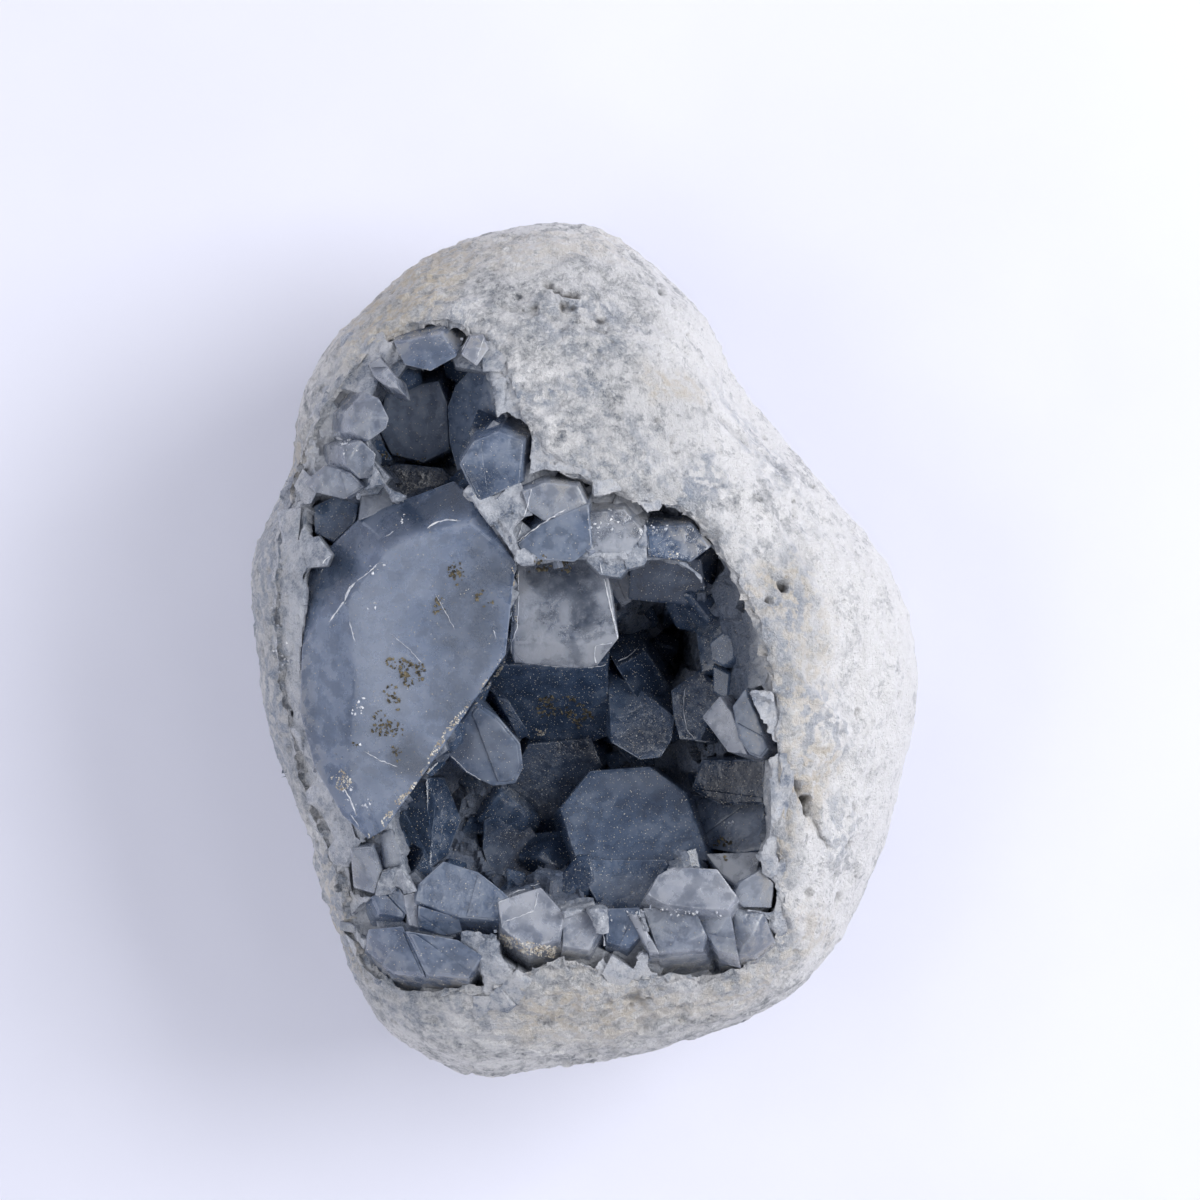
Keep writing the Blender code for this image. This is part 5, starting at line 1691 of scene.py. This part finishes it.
def chalky_rind():
    """White and grey chalky stone with beige stains, blue-grey windows, and pits and cracks painted dark
    as shade.
    """
    material, tree, shader, place = new_paint("chalky_rind")
    grain = use_group(tree, "mineral_grain", {"Place": place, "Fineness": 1.0})
    fine = use_group(tree, "mineral_grain", {"Place": place, "Fineness": 3.1})
    chalk, shade = attribute(tree, "chalk"), attribute(tree, "shade")
    mottle = weighed(
        tree, (grain["Clouds"], 0.26), (shade, 0.14), (fine["Clouds"], 0.22),
        (grain["Crystals"], 0.20), (fine["Crystals"], 0.26),
    )
    mottle = between(tree, mottle, 0.10, 0.77)
    # whiter on the chalky side, in part a painted lit side
    share = reckon(tree, "ADD", reckon(tree, "MULTIPLY", chalk, 0.5), mottle)
    share = broken_by(tree, share, attribute(tree, "grey"), 0.0, 1.0, 1.0, 0.66)
    share = broken_by(tree, share, attribute(tree, "rim"), 0.0, 1.0, 1.0, 0.7)
    stained = broken_by(tree, attribute(tree, "beige"), fine["Clouds"], 0.1, 0.9, 0.25, 1.0)
    windows = broken_by(tree, attribute(tree, "blue"), shade, 0.9, 0.4)
    windows = broken_by(tree, windows, fine["Clouds"], 0.95, 0.4)
    colour = coats(
        tree, blend(tree, share, (0.16, 0.18, 0.21), (0.96, 0.955, 0.965)),
        (stained, 1.0, (0.60, 0.52, 0.40)),
        (windows, 1.0, (0.26, 0.31, 0.40)),
        (attribute(tree, "border"), 0.30, (0.78, 0.77, 0.77)),
        (fine["Specks"], 0.55, (0.16, 0.15, 0.14)),
        (grain["Specks"], 0.35, (0.20, 0.19, 0.17)),
        (fine["Veils"], 0.35, (0.86, 0.85, 0.85)),
        # painted shade in the pits and cracks
        (attribute(tree, "pit"), 1.0, (0.05, 0.045, 0.04)),
    )
    tree.links.new(colour, shader.inputs["Base Color"])
    tree.links.new(between(tree, windows, 0.0, 1.0, 0.72, 0.38), shader.inputs["Roughness"])
    height = weighed(
        tree, (fine["Grain"], 0.3), (grain["Grain"], 0.3), (grain["Crystals"], 0.2),
        (fine["Crystals"], 0.2),
    )
    bump(tree, shader, height, 0.5, 1.0)
    return material


def frosted_mass():
    """Broken blue-grey crystal: white along breaks and by the rind, painted darker in the hollows as
    shade.
    """
    material, tree, shader, place = new_paint("frosted_crystal_mass")
    grain = use_group(tree, "mineral_grain", {"Place": place, "Fineness": 1.2})
    fine = use_group(tree, "mineral_grain", {"Place": place, "Fineness": 3.4})
    dust = use_group(tree, "settled_dust", {"Place": place, "Amount": 0.8})["Dust"]
    share = weighed(
        tree, (attribute(tree, "pale"), 0.55), (attribute(tree, "shade"), 0.24),
        (grain["Clouds"], 0.26), (grain["Crystals"], 0.18), (fine["Clouds"], 0.18),
        (fine["Crystals"], 0.14),
    )
    share = between(tree, share, 0.12, 1.0)
    breaks = broken_by(tree, attribute(tree, "border"), grain["Clouds"], 0.2, 0.8, 0.15, 0.6)
    rim = broken_by(tree, attribute(tree, "rim"), fine["Clouds"], 0.2, 0.8, 0.1, 0.6)
    colour = coats(
        tree, blend(tree, share, (0.10, 0.135, 0.20), (0.52, 0.545, 0.60)),
        (breaks, 1.0, (0.60, 0.62, 0.66)),
        (fine["Veils"], 0.35, (0.62, 0.64, 0.68)),
        (rim, 1.0, (0.56, 0.56, 0.57)),
        # painted shade: the deeper in the hollows, the darker
        (attribute(tree, "deep"), 0.8, (0.065, 0.09, 0.145)),
        (dust, 1.0, (0.50, 0.45, 0.38)),
    )
    tree.links.new(colour, shader.inputs["Base Color"])
    tree.links.new(between(tree, grain["Grain"], 0.0, 1.0, 0.22, 0.50), shader.inputs["Roughness"])
    height = weighed(tree, (fine["Grain"], 0.5), (grain["Grain"], 0.5), (grain["Crystals"], 0.3))
    bump(tree, shader, height, 0.25, 0.8)
    return material


# Finishes of clear crystal.
# Columns: name, body colour, milky colour, how milky, see-through share, roughness,
# absorption per metre
CRYSTAL_FINISHES = (
    ("great", (0.135, 0.205, 0.35), (0.28, 0.36, 0.53), 0.60, 0.50, 0.20, 80.0),
    ("blue", (0.125, 0.19, 0.33), (0.33, 0.41, 0.56), 0.60, 0.54, 0.10, 110.0),
    # deep and dark: darker copies of the blue finish, painted shade for crystals deep in the hollows and
    # under the rind's overhang
    ("deep", (0.060, 0.108, 0.21), (0.165, 0.245, 0.395), 0.60, 0.55, 0.10, 130.0),
    ("dark", (0.032, 0.060, 0.125), (0.11, 0.17, 0.285), 0.55, 0.54, 0.10, 160.0),
    ("steel", (0.20, 0.25, 0.36), (0.48, 0.53, 0.63), 0.70, 0.52, 0.16, 70.0),
    ("milky", (0.26, 0.31, 0.42), (0.64, 0.68, 0.78), 0.80, 0.50, 0.20, 50.0),
    ("clear", (0.11, 0.16, 0.26), (0.82, 0.87, 0.97), 0.85, 0.68, 0.06, 20.0),
)
GLASS_BEND = 1.62
# HAZE_LIFT pales the hazy colour, used for frost, for painted sheen and for painted edge highlights;
# SHADED_SHARE darkens the shaded colour, used for random mottling and for painted shade
HAZE_LIFT = 0.18
SHADED_SHARE = 0.5
MOTTLE_DEPTH = 0.32
ABSORBED_LEAVES = (0.50, 0.66, 0.92)


def crystal_paint(name, body, milky, milkiness, see_through, roughness, density):
    """Clear blue-grey crystal with milky clouds, paler worn edges that are partly a painted highlight,
    hazes that are partly painted sheen, bands of painted shade, and settled dust.
    """
    material, tree, shader, place = new_paint(name + "_crystal")
    grain = use_group(tree, "mineral_grain", {"Place": place, "Fineness": 0.8})
    fine = use_group(tree, "mineral_grain", {"Place": place, "Fineness": 2.6})
    dust = use_group(tree, "settled_dust", {"Place": place, "Amount": 0.75})["Dust"]
    tone = attribute(tree, "tone")
    broad = use_group(tree, "mineral_grain", {"Place": place, "Fineness": 0.35})
    hazy = tuple(part + HAZE_LIFT * (1 - part) for part in milky)
    shaded = tuple(SHADED_SHARE * part for part in body)
    clouds = reckon(tree, "MULTIPLY", grain["Clouds"], milkiness)
    share = reckon(tree, "ADD", clouds, between(tree, tone, 0.0, 1.0, 0.0, 0.35))
    finer = between(tree, fine["Clouds"], 0.2, 1.0, 0.0, 0.35 * milkiness)
    share = reckon(tree, "ADD", share, finer)
    veils = broken_by(tree, fine["Veils"], grain["Crystals"], 0.3, 1.0, 0.1, 0.9 * milkiness)
    frost = between(tree, fine["Clouds"], 0.55, 0.95)
    frost = broken_by(tree, frost, grain["Clouds"], 0.35, 0.9)
    frost = broken_by(tree, frost, fine["Crystals"], 0.2, 0.9, 0.3, milkiness)
    shadow = between(tree, fine["Clouds"], 0.42, 0.04, 0.0, MOTTLE_DEPTH)
    # painted sheen in part where the hazes lie, and painted shade where the bands lie
    haze = broken_by(tree, attribute(tree, "haze"), broad["Clouds"], 0.0, 1.0, 0.4, 0.8)
    band = broken_by(tree, attribute(tree, "band"), grain["Clouds"], 0.0, 1.0, 0.95, 0.55)
    rim = broken_by(tree, attribute(tree, "rim"), fine["Clouds"], 0.2, 0.8, 0.2, 0.85)
    # worn edges painted paler: chipped wear, and in part a painted highlight where the edges catch the
    # light
    worn = broken_by(tree, attribute(tree, "worn"), fine["Clouds"], 0.2, 0.7, 0.1, 0.7)
    colour = coats(
        tree, blend(tree, share, body, milky),
        (veils, 1.0, milky),
        (broad["Veils"], 0.4 * milkiness, milky),
        (frost, 1.0, hazy),
        (shadow, 1.0, shaded),
        (haze, 1.0, hazy),
        (band, 1.0, shaded),
        (rim, 1.0, (0.60, 0.59, 0.58)),
        (worn, 1.0, hazy),
        (dust, 1.0, (0.50, 0.46, 0.40)),
    )
    tree.links.new(colour, shader.inputs["Base Color"])
    shader.inputs["Transmission Weight"].default_value = see_through
    shader.inputs["IOR"].default_value = GLASS_BEND
    dull = between(tree, fine["Clouds"], 0.0, 1.0, 0.6 * roughness, 1.8 * roughness)
    tree.links.new(dull, shader.inputs["Roughness"])
    height = weighed(tree, (fine["Clouds"], 0.5), (fine["Veils"], 0.15))
    bump(tree, shader, height, 0.15, 0.45)
    inputs = {"Color": (*ABSORBED_LEAVES, 1.0), "Density": density}
    inside = node(tree, "ShaderNodeVolumeAbsorption", inputs).outputs[0]
    tree.links.new(inside, tree.nodes["Material Output"].inputs["Volume"])
    return material


def grain_paint(name, first, second):
    """Small loose grains, from one colour to another."""
    material, tree, shader, place = new_paint(name)
    tree.links.new(
        blend(tree, between(tree, noise_of(tree, place, 0.9, 2.0), 0.35, 0.65), first, second),
        shader.inputs["Base Color"],
    )
    shader.inputs["Roughness"].default_value = 0.75
    return material


def frost_paint():
    """Broken crystal that shows white; its specks and slivers also stand in for painted glints and
    highlights.
    """
    material, tree, shader, place = new_paint("white_breaks_and_glints")
    share = between(tree, noise_of(tree, place, 0.7, 3.0), 0.35, 0.65)
    colour = blend(tree, share, (0.50, 0.53, 0.60), (0.86, 0.87, 0.88))
    tree.links.new(colour, shader.inputs["Base Color"])
    shader.inputs["Roughness"].default_value = 0.4
    return material


# Scattering

SCATTER_LABELS = (
    "Density", "Least Size", "Most Size", "Tilt", "Sink", "Facing Up", "Chance", "Seed",
)
# Small things on surfaces. Columns: name, surface, shape, paint, slot, and then as labelled above
SCATTERED = (
    ("shards", "bed", "block", "steel", "crystal", 0.06, 0.8, 2.0, 0.4, 0.6, 1.0, "upper", 8),
    ("bed_dust", "bed", "grain", "grit", "rind", 0.5, 0.08, 0.24, 3.0, 0.0, 1.0, "deep", 12),
    ("trail_dust", "trails", "grain", "brown", "rind", 9.0, 0.18, 0.75, 3.0, 0.0, 0.0, "chance", 15),
    ("edge_grit", "edges", "grain", "grit", "rind", 22.0, 0.14, 0.46, 3.0, 0.0, 0.0, "chance", 17),
    ("white_chips", "chipped", "grain", "white", "crystal", 2.0, 0.15, 0.7, 3.0, 0.1, 0.0, "chance", 19),
)
# Dust that has settled on the crystals of each finish, and how dense it is
SETTLED = (("great", 0.4), ("blue", 1.0), ("deep", 2.2), ("dark", 2.2), ("steel", 0.6))


def scatter_tree():
    """Copies of a small shape over a surface, more of them where its own chance is higher."""
    tree = bpy.data.node_groups.new("scatter_small_shapes", "GeometryNodeTree")
    tree.interface.new_socket("Surface", in_out="INPUT", socket_type="NodeSocketGeometry")
    tree.interface.new_socket("Shape", in_out="INPUT", socket_type="NodeSocketObject")
    for label in SCATTER_LABELS[:6]:
        tree.interface.new_socket(label, in_out="INPUT", socket_type="NodeSocketFloat")
    tree.interface.new_socket("Chance", in_out="INPUT", socket_type="NodeSocketString")
    tree.interface.new_socket("Seed", in_out="INPUT", socket_type="NodeSocketInt")
    tree.interface.new_socket("Material", in_out="INPUT", socket_type="NodeSocketMaterial")
    tree.interface.new_socket("Geometry", in_out="OUTPUT", socket_type="NodeSocketGeometry")
    given = tree.nodes.new("NodeGroupInput").outputs

    def times(first, second):
        inputs = {0: first, 1: second}
        return node(tree, "ShaderNodeMath", inputs, operation="MULTIPLY").outputs[0]

    inputs = {"Name": given["Chance"]}
    chance = node(tree, "GeometryNodeInputNamedAttribute", inputs, data_type="FLOAT")
    normal = node(tree, "GeometryNodeInputNormal").outputs[0]
    up = node(tree, "ShaderNodeSeparateXYZ", {0: normal}).outputs["Z"]
    inputs = {"Value": up, "From Min": 0.15, "From Max": 0.6}
    up = node(tree, "ShaderNodeMapRange", inputs).outputs[0]
    inputs = {0: given["Facing Up"], 2: 1.0, 3: up}
    up = node(tree, "ShaderNodeMix", inputs, data_type="FLOAT").outputs[0]
    density = times(times(chance.outputs[0], up), given["Density"])
    inputs = {"Mesh": given["Surface"], "Density": density, "Seed": given["Seed"]}
    spread = node(tree, "GeometryNodeDistributePointsOnFaces", inputs)
    shape = node(tree, "GeometryNodeObjectInfo", {"Object": given["Shape"]}).outputs["Geometry"]
    inputs = {"Min": given["Least Size"], "Max": given["Most Size"], "Seed": given["Seed"]}
    size = node(tree, "FunctionNodeRandomValue", inputs, data_type="FLOAT")
    size_out = [out for out in size.outputs if out.enabled][0]
    least = times(given["Tilt"], -1.0)
    low = node(tree, "ShaderNodeCombineXYZ", {"X": least, "Y": least, "Z": 0.0}).outputs[0]
    inputs = {"X": given["Tilt"], "Y": given["Tilt"], "Z": math.tau}
    high = node(tree, "ShaderNodeCombineXYZ", inputs).outputs[0]
    inputs = {0: low, 1: high, "Seed": given["Seed"]}
    turn = node(tree, "FunctionNodeRandomValue", inputs, data_type="FLOAT_VECTOR")
    inputs = {"Rotation": spread.outputs["Rotation"], "Rotate By": turn.outputs[0]}
    turned = node(tree, "FunctionNodeRotateRotation", inputs, rotation_space="LOCAL").outputs[0]
    inputs = {
        "Points": spread.outputs["Points"], "Instance": shape, "Rotation": turned,
        "Scale": size_out,
    }
    copies = node(tree, "GeometryNodeInstanceOnPoints", inputs).outputs[0]
    move = node(tree, "ShaderNodeCombineXYZ", {"Z": times(given["Sink"], -1.0)}).outputs[0]
    inputs = {"Instances": copies, "Translation": move}
    copies = node(tree, "GeometryNodeTranslateInstances", inputs).outputs[0]
    real = node(tree, "GeometryNodeRealizeInstances", {"Geometry": copies}).outputs[0]
    inputs = {"Geometry": real, "Material": given["Material"]}
    done = node(tree, "GeometryNodeSetMaterial", inputs).outputs[0]
    out = tree.nodes.new("NodeGroupOutput")
    tree.links.new(done, out.inputs["Geometry"])
    return tree


def scatter(name, surface, shape, material, values):
    """One plain mesh of small shapes scattered over a surface."""
    carrier = bpy.data.objects.new(name, surface.data.copy())
    bpy.context.scene.collection.objects.link(carrier)
    tree = bpy.data.node_groups["scatter_small_shapes"]
    step = carrier.modifiers.new("scatter", "NODES")
    step.node_group = tree
    items = [item for item in tree.interface.items_tree if item.in_out == "INPUT"]
    sockets = {item.name: item.identifier for item in items}
    for label, value in {"Shape": shape, "Material": material, **values}.items():
        step[sockets[label]] = value
    return settle(carrier)


def blocky_crystal(name, sides, slender, slope, seed):
    """A small blocky crystal, one millimetre across, with a slanting end."""
    dice = random.Random(seed)
    points = []
    for height, spread in ((-0.9, 0.62), (0.35, 0.52), (0.55, 0.40)):
        for side in range(sides):
            angle = math.tau * (side + dice.uniform(-0.18, 0.18)) / sides
            x, y = spread * math.cos(angle), slender * spread * math.sin(angle)
            points.append((x, y, height + (slope * x if height > 0 else 0.0)))
    return new_object(name, hull(points))


def grain_shape(name, seed):
    """A small angular grain, one millimetre across."""
    dice = random.Random(seed)
    points = []
    for _ in range(9):
        direction = Vector([dice.gauss(0, 1) for _ in range(3)]).normalized()
        points.append(tuple(direction * dice.uniform(0.4, 0.55)))
    return new_object(name, hull(points))


def finish_piece(piece, material, slot, replaces=()):
    """Brings a finished piece to metres, and fixes it to the geode."""
    piece.data.transform(Matrix.Scale(MM, 4))
    if material:
        piece.data.materials.clear()
        piece.data.materials.append(material)
    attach(piece, "root")
    if replaces:
        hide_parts(*replaces)


def make_crystals(bed):
    """Every named crystal with its growth plate, and the small ones between: one solid a finish."""
    dice = random.Random(2)
    corners = {row[0]: [] for row in CRYSTAL_FINISHES}
    corners["worn"] = []
    for family, (finish, points) in enumerate(all_crystals()):
        corners[finish].append((family, points))
    for family, (_, finish, height, slopes, _, lean, outline) in enumerate(CRYSTALS):
        points = growth_plate(dice, height, slopes, lean, outline)
        if points:
            corners[finish].append((family + 2, points))
    for number, (finish, points) in enumerate(paving_crystals(), PAVING_FAMILY):
        corners[finish].append((number, points))
    for number, (finish, points) in enumerate(wall_crystals(bed), WALL_FAMILY):
        corners[finish].append((number, points))
    found = {}
    for finish, own in corners.items():
        piece = join_crystals(finish + "_crystals", own)
        if finish != "worn":
            refine(piece.data, LONGEST_ON_GREAT if finish == "great" else LONGEST)
        mark_crystals(piece.data, own, len(own))
        flat_faced(piece.data)
        mark(piece.data, "anywhere", np.ones(len(piece.data.vertices)))
        mark_rim(piece.data)
        if finish == "worn":
            mark_worn(piece.data)
        else:
            mark_faces(piece.data)
        found[finish] = piece
    return found


def scatter_small_things(rind, bed, crystals, paints):
    """Shards on the broken mass, dust, grit, white chips and painted glints, and white breaks, each with
    its slot.
    """
    scatter_tree()
    shapes = {"block": blocky_crystal("block", 4, 0.8, -0.5, 9), "grain": grain_shape("grain", 5)}
    paints = {
        **paints,
        "grit": grain_paint("beige_grit", (0.42, 0.36, 0.28), (0.74, 0.71, 0.64)),
        "brown": grain_paint("brown_dust", (0.032, 0.028, 0.018), (0.19, 0.16, 0.10)),
        "white": frost_paint(),
    }
    pieces = (*crystals.values(), bed, rind)
    whole = new_object("whole", lambda shape: [shape.from_mesh(piece.data) for piece in pieces])
    below = BVHTree.FromObject(whole, bpy.context.evaluated_depsgraph_get())
    strips = {
        "trails": ribbon("trails", DUST_LINES, below),
        "edges": ribbon("edges", GRIT_LINES, below),
        "chipped": ribbon("chipped", CHIP_AND_GLINT_LINES, below),
    }
    surfaces = {"bed": bed, **strips}
    made = []
    for name, surface, shape, paint, slot, *numbers in SCATTERED:
        values = dict(zip(SCATTER_LABELS, numbers))
        made.append((scatter(name, surfaces[surface], shapes[shape], paints[paint], values), slot))
    made.append((slivers(below, paints["white"]), "crystal"))
    for number, (finish, density) in enumerate(SETTLED):
        numbers = (density, 0.08, 0.22, 3.0, 0.0, 1.0, "anywhere", 30 + number)
        values = dict(zip(SCATTER_LABELS, numbers))
        dust = scatter(finish + "_dust", crystals[finish], shapes["grain"], paints["grit"], values)
        made.append((dust, "rind"))
    discard(*shapes.values(), whole, *strips.values())
    return made


# The studio

KEY_PLACE = (0.62, 0.20, 0.62)
KEY_SIZE = 0.55
KEY_POWER = 5.9
FILL_PLACE = (-0.55, -0.15, 0.60)
FILL_SIZE = 0.7
FILL_POWER = 1.7
CAMERA_PLACE = (0.0024, 0.00735, 0.636)
CAMERA_LENS = 120
FLOOR_HALF = 3.0
# Small panels that the crystals' flat faces mirror: place, size, power
PANELS = (
    ((-0.16, 0.34, 0.80), 0.16, 0.16),
    ((0.30, -0.10, 0.82), 0.16, 0.16),
    ((-0.34, -0.06, 0.76), 0.14, 0.12),
    ((0.06, -0.36, 0.78), 0.14, 0.12),
    ((0.20, 0.24, 0.86), 0.12, 0.10),
)


def add_light(name, place, size, power):
    light = bpy.data.lights.new(name, "AREA")
    light.size = size
    light.energy = power
    lamp = bpy.data.objects.new(name, light)
    lamp.location = place
    lamp.rotation_euler = (-Vector(place)).to_track_quat("-Z", "Y").to_euler()
    bpy.context.scene.collection.objects.link(lamp)


def set_stage():
    """A pale floor, a soft light from the right, a weak fill, and a sky that is dim overhead."""
    floor = new_object(
        "floor",
        lambda shape: bmesh.ops.create_grid(shape, x_segments=1, y_segments=1, size=FLOOR_HALF),
    )
    material, tree, shader, place = new_paint("pale_floor")
    tint = between(tree, noise_of(tree, place, 60.0, 3.0), 0.3, 0.7)
    colour = blend(tree, tint, (0.80, 0.81, 0.92), (0.83, 0.84, 0.95))
    tree.links.new(colour, shader.inputs["Base Color"])
    shader.inputs["Roughness"].default_value = 0.9
    floor.data.materials.append(material)
    add_light("key", KEY_PLACE, KEY_SIZE, KEY_POWER)
    add_light("fill", FILL_PLACE, FILL_SIZE, FILL_POWER)
    for number, panel in enumerate(PANELS):
        add_light(f"panel_{number}", *panel)
    world = bpy.data.worlds.new("studio")
    bpy.context.scene.world = world
    world.use_nodes = True
    tree = world.node_tree
    sky = node(tree, "ShaderNodeTexCoord").outputs["Generated"]
    up = node(tree, "ShaderNodeSeparateXYZ", {0: sky}).outputs["Z"]
    colour = blend(tree, between(tree, up, 0.55, 0.98), (0.80, 0.81, 0.88), (0.16, 0.165, 0.20))
    tree.links.new(colour, tree.nodes["Background"].inputs["Color"])
    tree.nodes["Background"].inputs["Strength"].default_value = 0.86
    camera = bpy.data.cameras.new("camera")
    camera.lens = CAMERA_LENS
    holder = bpy.data.objects.new("camera", camera)
    holder.location = CAMERA_PLACE
    bpy.context.scene.collection.objects.link(holder)
    bpy.context.scene.camera = holder
    bpy.context.scene.view_settings.view_transform = "Standard"


def main():
    mineral_grain_group()
    dust_group()
    paints = {row[0]: crystal_paint(*row) for row in CRYSTAL_FINISHES}
    paints["worn"] = frosted_mass()
    rind = make_rind_skin()
    bed = make_crystal_bed()
    crystals = make_crystals(bed)
    small = scatter_small_things(rind, bed, crystals, paints)
    finish_piece(rind, chalky_rind(), "rind", ["rind"])
    finish_piece(bed, paints["worn"], "crystal", ["crystal_crust"])
    for finish, piece in crystals.items():
        finish_piece(piece, paints[finish], "crystal")
    for piece, slot in small:
        finish_piece(piece, None, slot)
    set_stage()


main()
